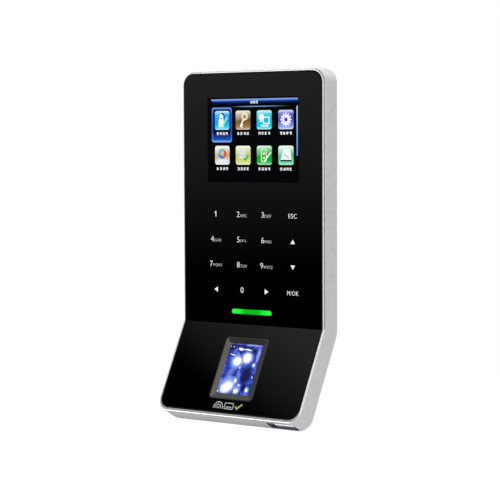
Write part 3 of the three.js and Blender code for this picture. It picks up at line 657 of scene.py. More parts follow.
PRINT = (0.03, 0.1)  # depths of everything that shows through the glass
KEY_COLUMNS = [-20.05, -5.45, 8.05, 22.3]
KEY_ROWS = [48.5, 37.1, 25.7, 14.3]  # baselines
KEYS = [
    [("1", ""), ("2", "ABC"), ("3", "DEF"), ("ESC", None)],
    [("4", "GHI"), ("5", "JKL"), ("6", "MNO"), ("up", None)],
    [("7", "PQRS"), ("8", "TUV"), ("9", "WXYZ"), ("down", None)],
    [("left", None), ("0", ""), ("right", None), ("M/OK", None)],
]
DIGIT_HEIGHT = 2.5
LETTER_HEIGHT = 1.35
LETTER_PITCH = 1.24
WORD_HEIGHT = 2.0
WORD_PITCH = 1.5
ARROWS = {"up": 0, "left": 90, "down": 180, "right": 270}
ARROW_HALF, ARROW_HEIGHT, ARROW_RAISED = 1.2, 1.95, 0.05
NARROW_ONE = [(-0.1, 0), (0.28, 0), (0.28, 2.5), (0, 2.5), (-0.6, 2.0), (-0.5, 1.65), (-0.1, 1.9)]


def text_mesh(words, height, width=None, spacing=1.0):
    """Letters of a height, from x = 0 and with their foot on y = 0, squeezed to a width."""
    font = bpy.data.curves.new("letters", "FONT")
    font.body = words
    font.size = 10
    font.extrude = 1
    font.resolution_u = 4
    font.space_character = spacing
    font.offset = -0.1
    mesh = curve_mesh(font)
    xs = [v.co.x for v in mesh.vertices]
    ys = [v.co.y for v in mesh.vertices]
    tall = height / (max(ys) - min(ys))
    wide = tall if width is None else width / (max(xs) - min(xs))
    mesh.transform(Matrix.Translation((-min(xs), -min(ys), 0)))
    mesh.transform(Matrix.Diagonal((wide, tall, (PRINT[1] - PRINT[0]) / 2, 1)))
    mesh.transform(Matrix.Translation((0, 0, -sum(PRINT) / 2)))
    weld(mesh)
    return mesh


def mesh_width(mesh):
    return max(v.co.x for v in mesh.vertices) - min(v.co.x for v in mesh.vertices)


def shifted(mesh, x, y):
    mesh.transform(Matrix.Translation((x, y, 0)))
    return mesh


def legend_mesh(legend, letters, x, y):
    """One key's legend, centred on x with its foot on y. Letters beside a digit are in the second ink."""
    if legend in ARROWS:
        half, tall = ARROW_HALF, ARROW_HEIGHT
        triangle = [(-half, -tall / 2), (half, -tall / 2), (0, tall / 2)]
        return flat_mesh([moved(triangle, x, y + tall / 2 + ARROW_RAISED, ARROWS[legend])], *PRINT)
    if letters is None:
        width = WORD_PITCH * len(legend)
        return shifted(text_mesh(legend, WORD_HEIGHT, width, 1.08), x - width / 2, y)
    if legend == "1":
        return flat_mesh([moved(NARROW_ONE, x, y)], *PRINT)
    digit = text_mesh(legend, DIGIT_HEIGHT)
    if not letters:
        return shifted(digit, x - mesh_width(digit) / 2, y)
    width = LETTER_PITCH * len(letters)
    small = text_mesh(letters, LETTER_HEIGHT, width, 1.18)
    step = mesh_width(digit) + 0.3
    start = x - (step + width) / 2
    return joined([shifted(digit, start, y), shifted(small, start + step, y)], [0, 1])


def keypad():
    inks = [printed("key_print", "f4f6f8", 1.0), printed("key_letter_print", "f4f6f8", 0.62)]
    for row, keys in zip(KEY_ROWS, KEYS):
        for x, (legend, letters) in zip(KEY_COLUMNS, keys):
            name = "key_" + legend.lower().replace("/", "_")
            as_object(name, legend_mesh(legend, letters, x, row), inks, UPPER)


def status_bar():
    """The green bar, brightest over the light at each end."""
    left, right = -11.1, 10.7
    shader = Shader("status_bar_light", base_color="022006", ior=1.5, roughness=0.12)
    x, _, _ = shader.axes()
    far = shader.math("ABSOLUTE", shader.math("ADD", x, 0.25))
    stops = [(0.0, "02b60a"), (0.36, "04c212"), (0.56, "16f034"), (1.0, "28fb46")]
    light = shader.glowing(shader.ramp(shader.ranged(far, 0, 11, smooth=False), stops))
    bar = flat_mesh([rounded(left, right, 4.7, 6.85, 0.95)], 0.02, 0.1)
    as_object("status_bar", bar, light, UPPER)


# ---- Display picture ----

SCREEN_LEFT, SCREEN_RIGHT, SCREEN_FOOT, SCREEN_TOP = -24.5, 25.7, 64.2, 102.3
DOT_PITCH = 0.153  # of the display
TILE_WIDTH = 8.15
TILE_HEIGHT = 8.5
TILE_X = [-20.25, -8.6, 3.05, 14.75]
TILE_TOPS = [96.35, 80.6]
LABEL_FEET = [85.5, 69.65]
PICTURE_BACK = 0.1
LAYERS = {"field": 0.085, "frame": 0.078, "inner": 0.072, "tile": 0.065, "icon": 0.045, "sign": 0.03}


def layer_mesh(loops, layer, lift=0.0):
    """A flat part of the picture, whose front is at its layer's depth less a lift."""
    return flat_mesh(loops, LAYERS[layer] - lift, PICTURE_BACK)


def screen_piece(name, loops, layer, material):
    as_object(name, layer_mesh(loops, layer), material, UPPER)


def shaded_piece(name, loop, layer, stops, y0, y1):
    """A lit part of the display, shaded from y0 at the bottom to y1 at the top."""
    shader = screen_shader(name)
    _, y, _ = shader.axes()
    colour = shader.ramp(shader.ranged(y, y0, y1, smooth=False), stops)
    screen_piece(name, [loop], layer, shader.glowing(colour))


def lit(name, colour):
    """A plain colour of the display picture, with the faint lines of its dots."""
    shader = screen_shader(name)
    _, y, _ = shader.axes()
    rows = shader.math("PINGPONG", y, DOT_PITCH / 2)
    return shader.glowing(colour, shader.ranged(rows, 0, DOT_PITCH / 2, 0.94, 1.03, smooth=False))


def tile_material(name, foot, waist, head, left, top):
    """A glossy tile: light above a waist line that climbs to the right, deep below it, light foot."""
    shader = screen_shader(name)
    x, y, _ = shader.axes()
    rise = shader.ranged(y, top - TILE_HEIGHT, top, smooth=False)
    across = shader.ranged(x, left, left + TILE_WIDTH, smooth=False)
    line = shader.math("ADD", shader.math("MULTIPLY", across, 0.16), 0.38)
    above = shader.math("SUBTRACT", rise, line)
    lower = shader.ramp(rise, [(0.0, foot), (0.5, waist)])
    upper = shader.ramp(above, [(0.0, waist), (0.5, head)])
    colour = shader.mix(shader.ranged(above, -0.02, 0.05), lower, upper)
    shine = shader.math("MULTIPLY", shader.ranged(rise, 0.8, 0.98), 0.55)
    glow = shader.math("MULTIPLY", shader.ranged(rise, 0.16, 0.0), 0.4)
    return shader.glowing(shader.mix(shader.math("ADD", shine, glow, clamp=True), colour, "ffffff"))


# Each icon is drawn about its tile's middle, as (colour, loops) layers from the back to the front.


def pencil(half, foot, point, top):
    """A pencil that stands on its point."""
    return [(-half, foot), (0, foot - point), (half, foot), (half, top), (-half, top)]


def person_icon():
    body = moved([(-1.5, -3.0), (1.3, -3.0), *arc(-0.1, -0.3, 1.45, 0, 180, 8)], -0.5)
    hair = arc_band(-0.1, 1.85, 1.55, 0.85, -35, 105, 8)
    pen = moved(pencil(0.35, -2.9, 0.6, 2.4), 1.5, -0.6, -35)
    return [("f4fbff", [circle(-0.3, 1.75, 1.25, 20), body]), ("10243c", [hair]), ("b8f7a0", [pen])]


def key_icon():
    bow = [circle(0.9, 1.6, 1.75, 28), circle(0.9, 1.6, 1.0, 28)[::-1]]
    bars = [(-0.36, 0.36, -5.2, -1.5), (0.3, 1.2, -5.1, -4.5), (0.3, 1.0, -4.1, -3.5)]
    return [("f8f1d8", bow), ("fffbe8", [moved(rectangle(*bar), 0.9, 1.6, -28) for bar in bars])]


def network_icon():
    back = rounded(-3.0, -0.3, 0.2, 2.6, 0.3, 3)
    foot = [(-2.6, -0.9), (-0.9, -0.9), (-1.3, 0.2), (-2.1, 0.2)]
    screen = hollow((-0.7, 2.9, -1.9, 1.4, 0.35, 3), (-0.2, 2.4, -1.3, 0.9, 0.2, 3))
    base = rounded(-1.9, 2.3, -3.0, -2.2, 0.3, 3)
    return [("ecfdff", [back, foot]), ("f6ffff", screen), ("dff9ff", [base])]


def gear_icon():
    outline = []
    for a in range(0, 360, 30):
        outline += arc(0, 0, 3.0, a - 7, a + 7, 2)
        outline += arc(0, 0, 2.15, a + 11, a + 19, 2)
    return [("f3f2ff", [outline, circle(0, 0, 0.95, 16)[::-1]])]


def chart_icon():
    slices = [("3f7fe0", 190, 300), ("e4493c", 305, 410), ("58c7c2", 55, 185)]
    parts = [(colour, [arc_band(0, 0.7, 2.3, 1.1, start, end, 8)]) for colour, start, end in slices]
    return [*parts, ("e9edf3", [rounded(-2.6, 2.8, -3.3, -1.9, 0.5, 4)])]


def data_icon():
    unit = circle(0, 0, 1)
    discs = [[(2.0 * x - 0.5, 0.62 * y + middle) for x, y in unit] for middle in (2.3, 0.75, -0.8)]
    tick = [(-1.5, 0.3), (-0.6, -0.9), (1.5, 1.5), (1.1, 1.9), (-0.6, 0.1), (-1.1, 0.8)]
    return [("dfe9f6", discs), ("1f9d43", [moved(tick, 1.7, -1.7)])]


def door_icon():
    plate = hollow((-1.9, 1.3, -3.1, 2.9, 0.9, 4), (-1.35, 0.75, -2.5, 2.3, 0.6, 4))
    slot = rounded(-0.75, 0.15, -1.6, -0.7, 0.2, 3)
    pen = moved(pencil(0.32, -2.4, 0.5, 2.6), 1.8, -0.6, -42)
    return [("c9f2b4", plate), ("e9ffd8", [circle(-0.3, 0.7, 0.62, 14), slot]), ("f2fff0", [pen])]


def drive_icon():
    case = [(-2.9, -2.1), (2.9, -2.1), (2.3, 2.8), (-1.3, 2.8)]
    base = rounded(-2.9, 2.9, -2.7, -2.0, 0.25, 3)
    cable = [(-1.3, 0.3), (1.7, -1.3), (1.7, -0.9), (-1.3, 0.7)]
    return [("fafdff", [case]), ("0c2a3a", [base]), ("7c8fa8", [cable])]


# Name, row, column, the colours at the tile's foot, waist and head, and its icon.
TILES = [
    ("people", 0, 0, ("2fd8f4", "1596f0", "4fc3fb"), person_icon),
    ("access", 0, 1, ("b07b4f", "6f5522", "d9cfae"), key_icon),
    ("network", 0, 2, ("22d4ea", "12b4dd", "5fe2f2"), network_icon),
    ("settings", 0, 3, ("9fb6f2", "4d35c8", "7a83e6"), gear_icon),
    ("records", 1, 0, ("eef0f4", "c9a672", "f7f3ea"), chart_icon),
    ("data", 1, 1, ("dfe58a", "c3c96a", "eef3c9"), data_icon),
    ("door", 1, 2, ("10c04a", "0a9f34", "9be8ae"), door_icon),
    ("drive", 1, 3, ("6fe09a", "57b98a", "d6f6ea"), drive_icon),
]


def tiles():
    shades = {}
    for name, row, column, colours, icon in TILES:
        left, top = TILE_X[column], TILE_TOPS[row]
        material = tile_material(f"tile_{name}", *colours, left, top)
        loop = rounded(left, left + TILE_WIDTH, top - TILE_HEIGHT, top, 1.1, 5)
        screen_piece(f"tile_{name}", [loop], "tile", material)
        x, y = left + TILE_WIDTH / 2, top - TILE_HEIGHT / 2
        parts = icon()
        for colour, _ in parts:
            if colour not in shades:
                shades[colour] = lit(f"icon_{colour}", colour)
        palette = sorted({colour for colour, _ in parts})
        meshes = []
        for order, (_, loops) in enumerate(parts):
            placed = [moved(loop, x, y) for loop in loops]
            meshes.append(layer_mesh(placed, "icon", 0.004 * order))
        mesh = joined(meshes, [palette.index(colour) for colour, _ in parts])
        as_object(f"icon_{name}", mesh, [shades[c] for c in palette], UPPER)


def label_blocks(x, y, count, rng, size=1.24, gap=0.46):
    """A row of small unreadable signs in place of words: a few random strokes each."""
    loops = []
    step = size + gap
    start = x - (count * step - gap) / 2
    stroke = 0.25
    for i in range(count):
        left = start + i * step
        heights = rng.sample([0.0, 0.35, 0.7, 0.99], 3)
        for height in heights:
            indent = rng.uniform(0.0, 0.45)
            end = left + size - rng.uniform(0, 0.3)
            loops.append(rounded(left + indent, end, y + height, y + height + stroke, 0.05, 1))
        for post in rng.sample([0.1, 0.5, 0.9], 2):
            loops.append(rounded(left + post, left + post + stroke, y, y + size, 0.05, 1))
    return loops


def title():
    """The bar across the top of the picture and the thin line under it."""
    foot, top, right = 98.5, SCREEN_TOP - 0.7, SCREEN_RIGHT - 0.4
    bar = [(SCREEN_LEFT + 2.0, top), (right, top), (right, foot), (SCREEN_LEFT + 4.2, foot)]
    stops = [(0.0, "000004"), (0.42, "04102c"), (0.66, "16368a"), (0.88, "6f9cf0"), (1.0, "9db8f4")]
    shaded_piece("title_bar", bar[::-1], "tile", stops, foot, top)

    left, right = -12.5, 22.0
    shader = screen_shader("title_line")
    x, _, _ = shader.axes()
    fade = shader.math("MULTIPLY", shader.ranged(x, left, 0.0), shader.ranged(x, right, 5.0))
    line = rectangle(left, right, 98.0, 98.35)
    screen_piece("title_line", [line], "tile", shader.glowing("8fa6c8", fade))


def selection():
    """The frame round the chosen tile, with a deep blue field in it."""
    x0, x1, y0, y1 = -22.1, -10.75, 82.2, 97.9
    edge = 0.75
    glow = [(0.0, "7fb2f4"), (0.08, "3f78d6"), (0.35, "2a4fa8"), (0.8, "2f5cbc"), (1.0, "6d94dc")]
    deep = [(0.0, "4a8ae8"), (0.09, "1f4cae"), (0.28, "060c2c"), (0.7, "0a1f60"), (1.0, "0b1a48")]
    outer = rounded(x0, x1, y0, y1, 1.2, 6)
    inner = rounded(x0 + edge, x1 - edge, y0 + edge, y1 - edge, 0.8, 6)
    shaded_piece("selection_frame", outer, "frame", glow, y0, y1)
    shaded_piece("selection_field", inner, "inner", deep, y0, y1)


def display():
    black = Shader("display_black", ior=1.45, roughness=0.12, specular_ior_level=0.1)
    black.set("Base Color", black.ramp(black.noise(3), [(0.3, "000001"), (0.7, "020204")]))
    field = rounded(SCREEN_LEFT, SCREEN_RIGHT, SCREEN_FOOT, SCREEN_TOP, 0.3, 3)
    screen_piece("display_field", [field], "field", black.material)
    title()
    selection()

    foot, top = 76.1, 98.1
    stops = [(0.0, "5d8ed8"), (0.5, "88b2e8"), (1.0, "b8cdf0")]
    bar = rounded(24.5, 25.15, foot, top, 0.3, 4)
    shaded_piece("scroll_bar", bar, "tile", stops, foot, top)

    rng = random.Random(7)
    signs = label_blocks(1.6, 99.5, 3, rng, 1.1, 0.35)
    for foot in LABEL_FEET:
        for left in TILE_X:
            signs += label_blocks(left + TILE_WIDTH / 2, foot, 4, rng)
    mesh = joined([layer_mesh([loop], "sign") for loop in signs])
    as_object("display_labels", mesh, lit("label_white", "f2f4f6"), UPPER)
    tiles()


# ---- Finger sensor ----


def between(outer, inner, profile):
    """Rings from one (x0, x1, y0, y1, radius) to another, by (share of the way, depth)."""
    rings = []
    for share, depth in profile:
        outline = rounded(*[a + (b - a) * share for a, b in zip(outer, inner)], 8)
        rings.append([Vector((x, y, -depth)) for x, y in outline])
    return rings


def rim_material():
    """Fine-grained dark plastic, with painted light on the left slope: a warmer, lighter grey there
    stands in for the light that slope reflects.
    """
    shader = Shader("sensor_rim_plastic", specular_ior_level=0.4)
    x, y, _ = shader.axes()
    grain = shader.noise(0.14, 3, 0.6)
    dark = shader.ramp(grain, [(0.35, "121212"), (0.65, "1b1b1a")])
    # Painted light: the lighter, warmer tone for the left slope, where that slope reflects more light.
    painted_light_tone = shader.ramp(grain, [(0.35, "45423d"), (0.65, "524e46")])
    out = shader.math("SUBTRACT", -SENSOR_X, x)  # how far out on the left slope
    above = shader.math("ADD", y, SENSOR_TOP)
    below = shader.math("SUBTRACT", -SENSOR_BOTTOM, y)
    # Mask of the left slope, which takes the painted light, mitred off where it meets the top and bottom
    # slopes.
    left = shader.math("MULTIPLY", shader.ranged(out, -0.1, 0.1), shader.ranged(out, 2.9, 2.2))
    for beyond in (above, below):
        mitre = shader.ranged(shader.math("SUBTRACT", out, beyond), -0.15, 0.15)
        left = shader.math("MULTIPLY", left, mitre)
    shader.set("Base Color", shader.mix(left, dark, painted_light_tone))
    shader.set("Roughness", shader.ranged(shader.noise(3), 0.3, 0.7, 0.36, 0.46))
    shader.bump(grain, 0.006)
    return shader.material


def sensor_bezel():
    outer = (-SENSOR_X - RIM, SENSOR_X + RIM, -RIM_BOTTOM, -RIM_TOP, 1.6)
    inner = (-SENSOR_X, SENSOR_X, -SENSOR_BOTTOM, -SENSOR_TOP, 0.35)
    back = 4.4
    round_edge = [(0.0, 0.28), (0.015, 0.12), (0.05, 0.03), (0.11, 0.0), (0.17, 0.01), (0.24, 0.07)]
    slope_end = [(0.9, 0.5), (0.97, 0.56), (1.0, 0.66)]
    mesh = skinned(between(outer, inner, [(0.0, back), *round_edge, *slope_end, (1.0, back)]))
    as_object("sensor_rim", mesh, rim_material(), LOWER, replaces=["sensor_bezel"])


# Parts of the window's picture as (x, y, half width, half height, turn in degrees, sharpness): a
# sharpness near 0 fades out from the middle and one near 1 is a hard edge.
DARK_PATCHES = [
    (-1.5, -10.5, 8.0, 0.6, -2, 0.7),
    (-6.7, -11.0, 2.6, 2.1, 0, 0.6),
    (5.6, -12.6, 1.7, 1.9, 10, 0.5),
    (4.6, -23.9, 3.4, 5.8, -8, 0.45),
    (4.9, -29.6, 2.0, 3.0, 0, 0.3),
    (-2.0, -13.4, 1.6, 0.7, -20, 0.4),
]
DEEP_BLUE = [
    (-6.9, -23.5, 2.0, 4.6, -8, 0.4),
    (-1.0, -22.6, 2.4, 1.7, 0, 0.4),
    (0.2, -13.2, 2.4, 1.2, -12, 0.5),
]
VIOLET_BANDS = [
    (4.3, -9.6, 4.7, 0.55, -1, 0.75),
    (8.1, -14.4, 0.9, 4.4, -2, 0.6),
]
HAZE = [
    (-4.2, -23.0, 2.4, 6.0, -24, 0.1),
    (0.4, -24.0, 1.6, 3.6, 12, 0.1),
]
HALOS = [
    (-2.4, -17.9, 4.6, 4.2, 0, 0.3),
    (2.5, -15.9, 4.2, 4.2, 0, 0.3),
    (-4.0, -29.4, 6.2, 5.2, 30, 0.3),
    (1.4, -31.4, 2.8, 2.9, 0, 0.2),
    (7.1, -30.9, 1.8, 2.2, 0, 0.2),
    (7.2, -19.0, 1.5, 1.7, 0, 0.2),
]
HOT_SPOTS = [
    (-2.4, -17.7, 2.9, 2.6, 0, 0.5),
    (2.5, -15.8, 2.9, 2.9, 0, 0.5),
    (0.1, -20.7, 0.6, 0.6, 0, 0.4),
    (7.25, -18.9, 0.8, 0.9, 0, 0.4),
    (-0.4, -26.9, 0.8, 1.6, -10, 0.5),
    (2.2, -28.8, 0.9, 0.4, -30, 0.4),
    (-3.9, -30.2, 4.4, 3.2, 34, 0.45),
    (1.35, -31.8, 1.6, 1.3, 0, 0.5),
    (6.9, -31.0, 0.9, 1.1, 0, 0.5),
    (-8.3, -32.4, 0.5, 0.6, 0, 0.3),
    (7.9, -24.7, 0.4, 0.6, 0, 0.3),
    (-2.0, -11.8, 1.5, 0.75, -10, 0.8),
    (1.6, -12.0, 2.7, 0.38, -4, 0.7),
    (-5.6, -14.8, 2.3, 0.32, -9, 0.4),
    (-8.0, -10.8, 0.35, 0.35, 0, 0.4),
    (-6.3, -10.9, 0.4, 0.35, 0, 0.4),
]
# The layers of the glow from the back to the front: the spots, their strength and their colour.
GLOW_LAYERS = [
    (DEEP_BLUE, 0.8, "1c2a98"),
    (HAZE, 0.6, "7b98f0"),
    (DARK_PATCHES, 0.93, "0a0c30"),
    (HALOS, 0.9, "9dbbfb"),
    (VIOLET_BANDS, 0.8, "9aa0f4"),
    (HOT_SPOTS, 1.0, "ffffff"),
]


def glow_material():
    """Blue light in the prism: white hot spots, streaks and dark gaps, bent as by glass facets."""
    shader = Shader("sensor_glow", base_color="04061c", ior=1.52, roughness=0.04)
    inputs = {"Vector": shader.place, "Scale": 1 / (2.2 * MM), "Detail": 2.0}
    warp = shader.add("ShaderNodeTexNoise", inputs).outputs["Color"]
    centred = shader.vector("SUBTRACT", warp, (0.5, 0.5, 0.5))
    bent = shader.vector("ADD", shader.place, shader.vector("MULTIPLY", centred, [0.9 * MM] * 3))

    def spot(x, y, wide, tall, turn, sharpness):
        """1 at a place of the window and 0 outside an ellipse round it."""
        inputs = {
            "Vector": bent,
            "Location": (x * MM, y * MM, 0),
            "Rotation": (0, 0, math.radians(turn)),
            "Scale": (wide * MM, tall * MM, 1),
        }
        mapped = shader.add("ShaderNodeMapping", inputs, vector_type="TEXTURE").outputs[0]
        flat = shader.vector("MULTIPLY", mapped, (1, 1, 0))
        return shader.ranged(shader.vector("LENGTH", flat), 1.0, sharpness)

    inputs = {"Vector": bent, "Scale": 1 / (2.6 * MM), "Randomness": 1.0}
    facets = shader.add("ShaderNodeTexVoronoi", inputs).outputs["Color"]
    facet = shader.add("ShaderNodeSeparateColor", {"Color": facets}).outputs["Red"]
    streaks = shader.noise(1.0, 3, 0.6, bent, 0.8)
    stops = [(0.25, "0d1258"), (0.42, "2334a2"), (0.58, "3f58cc"), (0.8, "86a2f0")]
    colour = shader.ramp(shader.blend(facet, 0.75, streaks), stops)
    for spots, strength, tint in GLOW_LAYERS:
        most = 0.0
        for one in spots:
            most = shader.math("MAXIMUM", spot(*one), most)
        colour = shader.mix(shader.math("MULTIPLY", most, strength), colour, tint)
    return shader.glowing(colour, 1.05)


def sensor_window():
    """The prism, whose face has a small chamfer and whose sides draw in behind the rim."""
    gap, chamfer, back = 0.03, 0.2, 8.4
    x, low, high = SENSOR_X - gap, gap - SENSOR_BOTTOM, -SENSOR_TOP - gap
    outline = (-x, x, low, high, 0.4)
    inner = (chamfer - x, x - chamfer, low + chamfer, high - chamfer, 0.4)
    foot = (chamfer - x, x - chamfer, low + 4.0, high - 4.0, 0.4)
    rings = between(outline, inner, [(1.0, 0.4), (0.3, 0.43), (0.0, 0.55), (0.0, 4.4)])
    mesh = skinned(rings + between(foot, foot, [(0.0, back)]), closed=False)
    as_object(
        "sensor_window",
        mesh,
        glow_material(),
        LOWER,
        replaces=["sensor_prism"],
        sharp=40,
    )


def touch_mark():
    """A generic print under the sensor: fingerprint arcs, a card's outline and a tick."""
    foot, tall, line = -40.9, 3.5, 0.4
    shapes = []
    for radius in (0.5, 1.5, 2.5):
        ridge = arc_band(-5.2, 0.3, radius + line / 2, radius - line / 2, 0, 180, 14)
        shapes.append([(x, foot + y * 1.2) for x, y in ridge])
    low, high = foot + 0.2, foot + tall - 0.2
    shapes += hollow(
        (-2.0, 3.0, low, high, 0.5, 4),
        (-2.0 + line, 3.0 - line, low + line, high - line, 0.3, 4),
    )
    shapes.append(rounded(-1.0, 2.0, foot + 1.0, foot + 1.5, 0.1, 2))
    grey = printed("mark_grey", "c2c4c2", 0.8)
    as_object("touch_mark", flat_mesh(shapes, *PRINT), grey, LOWER)
    tick = [(-1.8, 0.2), (-0.6, -1.1), (2.1, 1.5), (1.6, 2.0), (-0.6, -0.1), (-1.35, 0.75)]
    mesh = flat_mesh([moved(tick, 5.6, foot + 1.4)], *PRINT)
    as_object("touch_tick", mesh, printed("mark_green", "9fd07a", 0.85), LOWER)


# ---- USB socket ----


def usb_socket():
    x0, x1, front, back, mouth = usb_box()
    middle = (x0 + x1) / 2
    sheet, depth = 0.35, 13.0
    steel = speckled("socket_steel", "6e7176", 0.06, 0.3, 0.34, 0.001, metallic=1.0)
    profile = [  # how far out of the shell's outline, and how far below the bend
        (0, mouth - depth),
        (0, mouth - 0.1),
        (0.04, mouth),
        (-sheet - 0.05, mouth),
        (-sheet, mouth - 0.2),
        (-sheet, mouth - depth + 0.4),
    ]
    rings = []
    for grow, below in profile:
        outline = rounded(x0 - grow, x1 + grow, -back - grow, -front + grow, 0.6 + grow, 5)
        rings.append([Vector((x, -below, z)) for x, z in outline])
    shell = skinned(rings, closed=False)
    as_object("usb_shell", shell, steel, LOWER, replaces=["usb_port_shell"])

    def block(x, half, y0, y1, radius):
        return [rounded(x - half, x + half, y0, y1, radius, 3)]

    tongue = flat_mesh(block(middle, 5.6, -mouth + 0.6, -mouth + 12.5, 0.3), 6.45, 8.3, 0.15)
    base = flat_mesh(block(middle, 6.0, -33.4, -30.9, 0.2), 3.8, 8.4, 0.05)
    as_object(
        "usb_tongue_moulding",
        joined([tongue, base]),
        speckled("socket_tongue", "d9dde6", 0.04, 0.2, 0.4, 0.003),
        LOWER,
        replaces=["usb_tongue"],
    )
    gold = speckled("contact_gold", "d9a441", 0.08, 0.15, 0.25, 0.001, metallic=1.0)
    strips = []
    for dx in (-3.5, -1.0, 1.0, 3.5):
        strips.append(flat_mesh(block(middle + dx, 0.5, -mouth + 1.4, -mouth + 9, 0.2), 6.35, 6.5))
    as_object("usb_contacts", joined(strips), gold, LOWER)


# ---- Pieces that keep their CAD shape ----

# The procedural finish of each of the record's material slots, as a maker and what it is given:
# speckled takes a name, colour, spread, grain, roughness, relief and perhaps a coat, and brushed
# takes a name, colour, roughness and the direction of its lines.
FINISHES = {
    "silver_housing": (silver_paint,),
    "black_panel": (gloss_black, "black_panel_cad"),
    "black_tape": (speckled, "foam_tape", "131313", 0.3, 0.35, 0.95, 0.03),
    "display": (gloss_black, "display_cell", "0a0c12"),
    "display_housing": (speckled, "display_housing", "e6e9ee", 0.03, 0.3, 0.45, 0.01),
    "sheet_steel": (brushed, "bracket_steel", "b4b6b8"),
    "flex": (speckled, "amber_film", "b5651d", 0.12, 0.4, 0.35, 0.004, 0.3),
    "white_cable": (speckled, "white_cable", "dcd8cc", 0.05, 0.3, 0.5, 0.01),
    "circuit_board": (board_material,),
    "light_guide": (speckled, "milky_light_guide", "e8ecec", 0.02, 0.5, 0.25, 0.002),
    "status_light": (speckled, "green_light_pipe", "10c838", 0.05, 0.5, 0.2, 0.002),
    "sensor_rim": (speckled, "rim_plastic_cad", "4a4a4b", 0.12, 0.14, 0.42, 0.006),
    "sensor_window": (gloss_black, "prism_cad", "10164c"),
    "black_plastic": (speckled, "black_moulding", "1a1a1c", 0.15, 0.2, 0.5, 0.01),
    "rear_cover": (speckled, "rear_cover_texture", "2b2c2e", 0.16, 0.28, 0.58, 0.035),
    "plated_steel": (brushed, "zinc_plate", "c3c5c9", 0.3, "Z"),
    "socket_steel": (brushed, "socket_plate", "cfd2d6", 0.22),
    "socket_tongue": (speckled, "tongue_cad", "d9dde6", 0.04, 0.2, 0.4, 0.003),
    "brass": (brushed, "turned_brass", "c79a4b", 0.28),
    "white_plastic": (speckled, "white_moulding", "e8e6de", 0.03, 0.25, 0.42, 0.008),
    "red_plastic": (speckled, "red_moulding", "b3241c", 0.08, 0.2, 0.4, 0.008),
    "cell_steel": (brushed, "cell_steel", "c9ccd0", 0.25),
}
EDGE_ROUNDING = {"back_cover": 0.3, "wall_plate": 0.2}  # mm, others take the default
DEFAULT_ROUNDING = 0.12


def node_slots():
    """Each CAD node's material slot, from its material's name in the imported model."""
    known = [entry["slot"] for entry in frame["record"]["materials"]]
    found = {}
    for name, node in frame["nodes"].items():
        label = node.data.materials[0].name if node.data.materials else ""
        found[name] = next((slot for slot in known if label.split(".")[0] == slot), None)
    return found


def finish_cad_nodes():
    """Gives each CAD node its finish and small round edges."""
    made = {}
    for name, slot in node_slots().items():
        node = frame["nodes"][name]
        if slot not in made:
            maker, *values = FINISHES[slot]
            made[slot] = maker(*values)
        node.data.materials.clear()
        node.data.materials.append(made[slot])
        rounding = node.modifiers.new("rounded_edges", "BEVEL")
        rounding.width = EDGE_ROUNDING.get(name, DEFAULT_ROUNDING) * MM
        rounding.segments = 2
        rounding.limit_method = "ANGLE"
        rounding.angle_limit = math.radians(40)
        rounding.harden_normals = True
        rounding.use_clamp_overlap = True
        node.data.shade_smooth()
        node.data.set_sharp_from_angle(angle=math.radians(35))


# ---- Stage ----

FLOOR_DROP = 0.15  # metres from the object's foot to the floor
FLOOR_HALF = 1.15
DIM = 0.04  # brightness of the shadows that the silver mirrors


def floor():
    """A pale floor. In reflections it shows a painted bright patch in front, on the left, like a white
    card, and a painted shadow behind.
    """
    shader = Shader("floor", roughness=0.9, specular_ior_level=0.0)
    shader.set("Base Color", shader.ramp(shader.noise(60), [(0.3, 0.05), (0.7, 0.06)]))
    seen = shader.add("ShaderNodeLightPath").outputs["Is Camera Ray"]
    x, y, _ = shader.axes()

    def corner(x_from, x_to, y_from, y_to):
        """A soft region of the floor: its share grows along both axes."""
        return shader.math("MULTIPLY", shader.ranged(x, x_from, x_to), shader.ranged(y, y_from, y_to))

    # Painted light and shade, seen only in reflections: a glowing patch at the front left and a dark
    # region behind.
    painted_bright_patch = shader.math("MULTIPLY", corner(-5, -60, -15, -75), corner(-420, -340, -520, -440))
    shade = shader.mix(corner(80, -60, 20, 120), shader.mix(painted_bright_patch, 0.39, 2.1), DIM)
    material = shader.glowing(shader.mix(seen, shade, 0.5), 2.0)
    mesh = bpy.data.meshes.new("floor")
    z = cad_low.z - FLOOR_DROP
    corners = rectangle(-FLOOR_HALF, FLOOR_HALF, -FLOOR_HALF, FLOOR_HALF)
    mesh.from_pydata([(x, y, z) for x, y in corners], [], [(0, 1, 2, 3)])
    mesh.materials.append(material)
    in_scene("floor", mesh)


def level(degrees):
    """Where an elevation lies on a ramp over the whole sky."""
    return (math.sin(math.radians(degrees)) + 1) / 2


FLAG_SIDE = Vector((-0.585, -0.811, 0))
BACK_LEFT = Vector((-0.56, 0.83, 0))
# Brightness by elevation: in front of the glass, where black flags have dim gaps between them, and
# in the rest of the room.
FLAG_LEVELS = [
    (0.0, 0.9),
    (level(-16), 0.0),
    (level(-4.2), 0.0),
    (level(2.2), 0.18),
    (level(12), 0.22),
    (level(32), 0.0),
    (level(35.9), 0.0),
    (level(38.9), 0.2),
    (level(41), 0.22),
    (level(46), 0.95),
    (1.0, 0.95),
]
ROOM_LEVELS = [
    (0.0, 0.3),
    (level(-30), 0.35),
    (level(-8), 0.39),
    (level(5), 0.39),
    (level(40), 0.6),
    (1.0, 0.7),
]


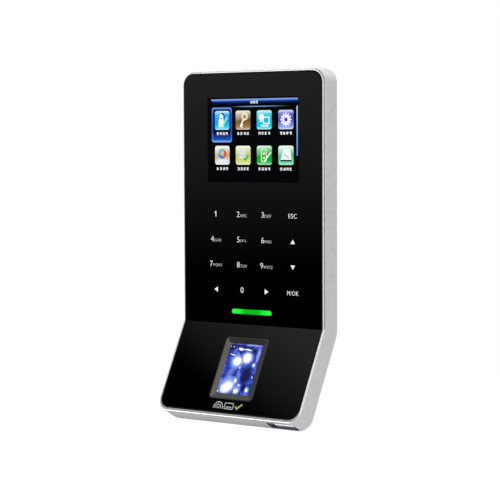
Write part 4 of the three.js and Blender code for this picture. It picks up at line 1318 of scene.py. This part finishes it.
def studio():
    """A white room with a dark flag in front of the glass, whose edges shade its reflection."""
    world = bpy.data.worlds.new("studio")
    bpy.context.scene.world = world
    world.use_nodes = True
    world.node_tree.nodes.clear()
    sky = Nodes(world.node_tree)
    direction = sky.add("ShaderNodeTexCoord").outputs["Generated"]
    height = sky.add("ShaderNodeSeparateXYZ", {"Vector": direction}).outputs["Z"]
    share = sky.ranged(height, -1.0, 1.0, smooth=False)
    flat = sky.vector("NORMALIZE", sky.vector("MULTIPLY", direction, (1, 1, 0)))
    flagged = sky.ranged(sky.vector("DOT_PRODUCT", flat, FLAG_SIDE), 0.79, 0.92)
    behind = sky.ranged(sky.vector("DOT_PRODUCT", flat, BACK_LEFT), 0.94, 0.985)
    shaded = sky.math("MULTIPLY", behind, sky.ranged(height, 0.0, -0.12))
    sides = sky.mix(shaded, sky.ramp(share, ROOM_LEVELS), DIM)
    colour = sky.mix(flagged, sides, sky.ramp(share, FLAG_LEVELS))
    room = sky.add("ShaderNodeBackground", {"Color": colour, "Strength": 2.0})
    white = sky.add("ShaderNodeBackground", {"Color": 1.0, "Strength": 1.0})
    rays = sky.add("ShaderNodeLightPath").outputs["Is Camera Ray"]
    both = sky.add("ShaderNodeMixShader", {0: rays, 1: room.outputs[0], 2: white.outputs[0]})
    sky.add("ShaderNodeOutputWorld", {"Surface": both.outputs[0]})


def soft_light(name, toward, distance, width, height, power):
    """A softbox that faces the object from a direction."""
    data = bpy.data.lights.new(name, "AREA")
    data.shape = "RECTANGLE"
    data.size = width
    data.size_y = height
    data.energy = power
    lamp = in_scene(name, data)
    away = Vector(toward).normalized()
    lamp.location = (cad_low + cad_high) / 2 + away * distance
    lamp.rotation_euler = away.to_track_quat("Z", "Y").to_euler()
    lamp.visible_camera = False


def camera():
    """The view from the right, a little above, with the terminal turned away by about 36 degrees."""
    data = bpy.data.cameras.new("camera")
    data.sensor_width = 36
    data.lens = 126.52
    data.clip_start = 0.01
    eye = in_scene("camera", data)
    eye.location = Vector((459.11, -659.95, 24.99)) * MM
    pitch, yaw, roll = (math.radians(angle) for angle in (-3.496, 35.684, -0.236))
    aim = Matrix.Rotation(yaw, 3, "Z") @ Matrix.Rotation(math.pi / 2 + pitch, 3, "X")
    eye.rotation_euler = (aim @ Matrix.Rotation(roll, 3, "Z")).to_euler()
    bpy.context.scene.camera = eye


# ---- The scene ----

bpy.context.scene.view_settings.view_transform = "Standard"
camera()
studio()
floor()
soft_light("key_right", (0.7, -0.72, 0.1), 1.2, 0.5, 1.1, 2.4)
soft_light("top_soft", (-0.2, -0.1, 1.0), 1.1, 0.9, 0.9, 5.0)

finish_cad_nodes()
housing()
front_panels()
keypad()
status_bar()
display()
sensor_bezel()
sensor_window()
touch_mark()
usb_socket()
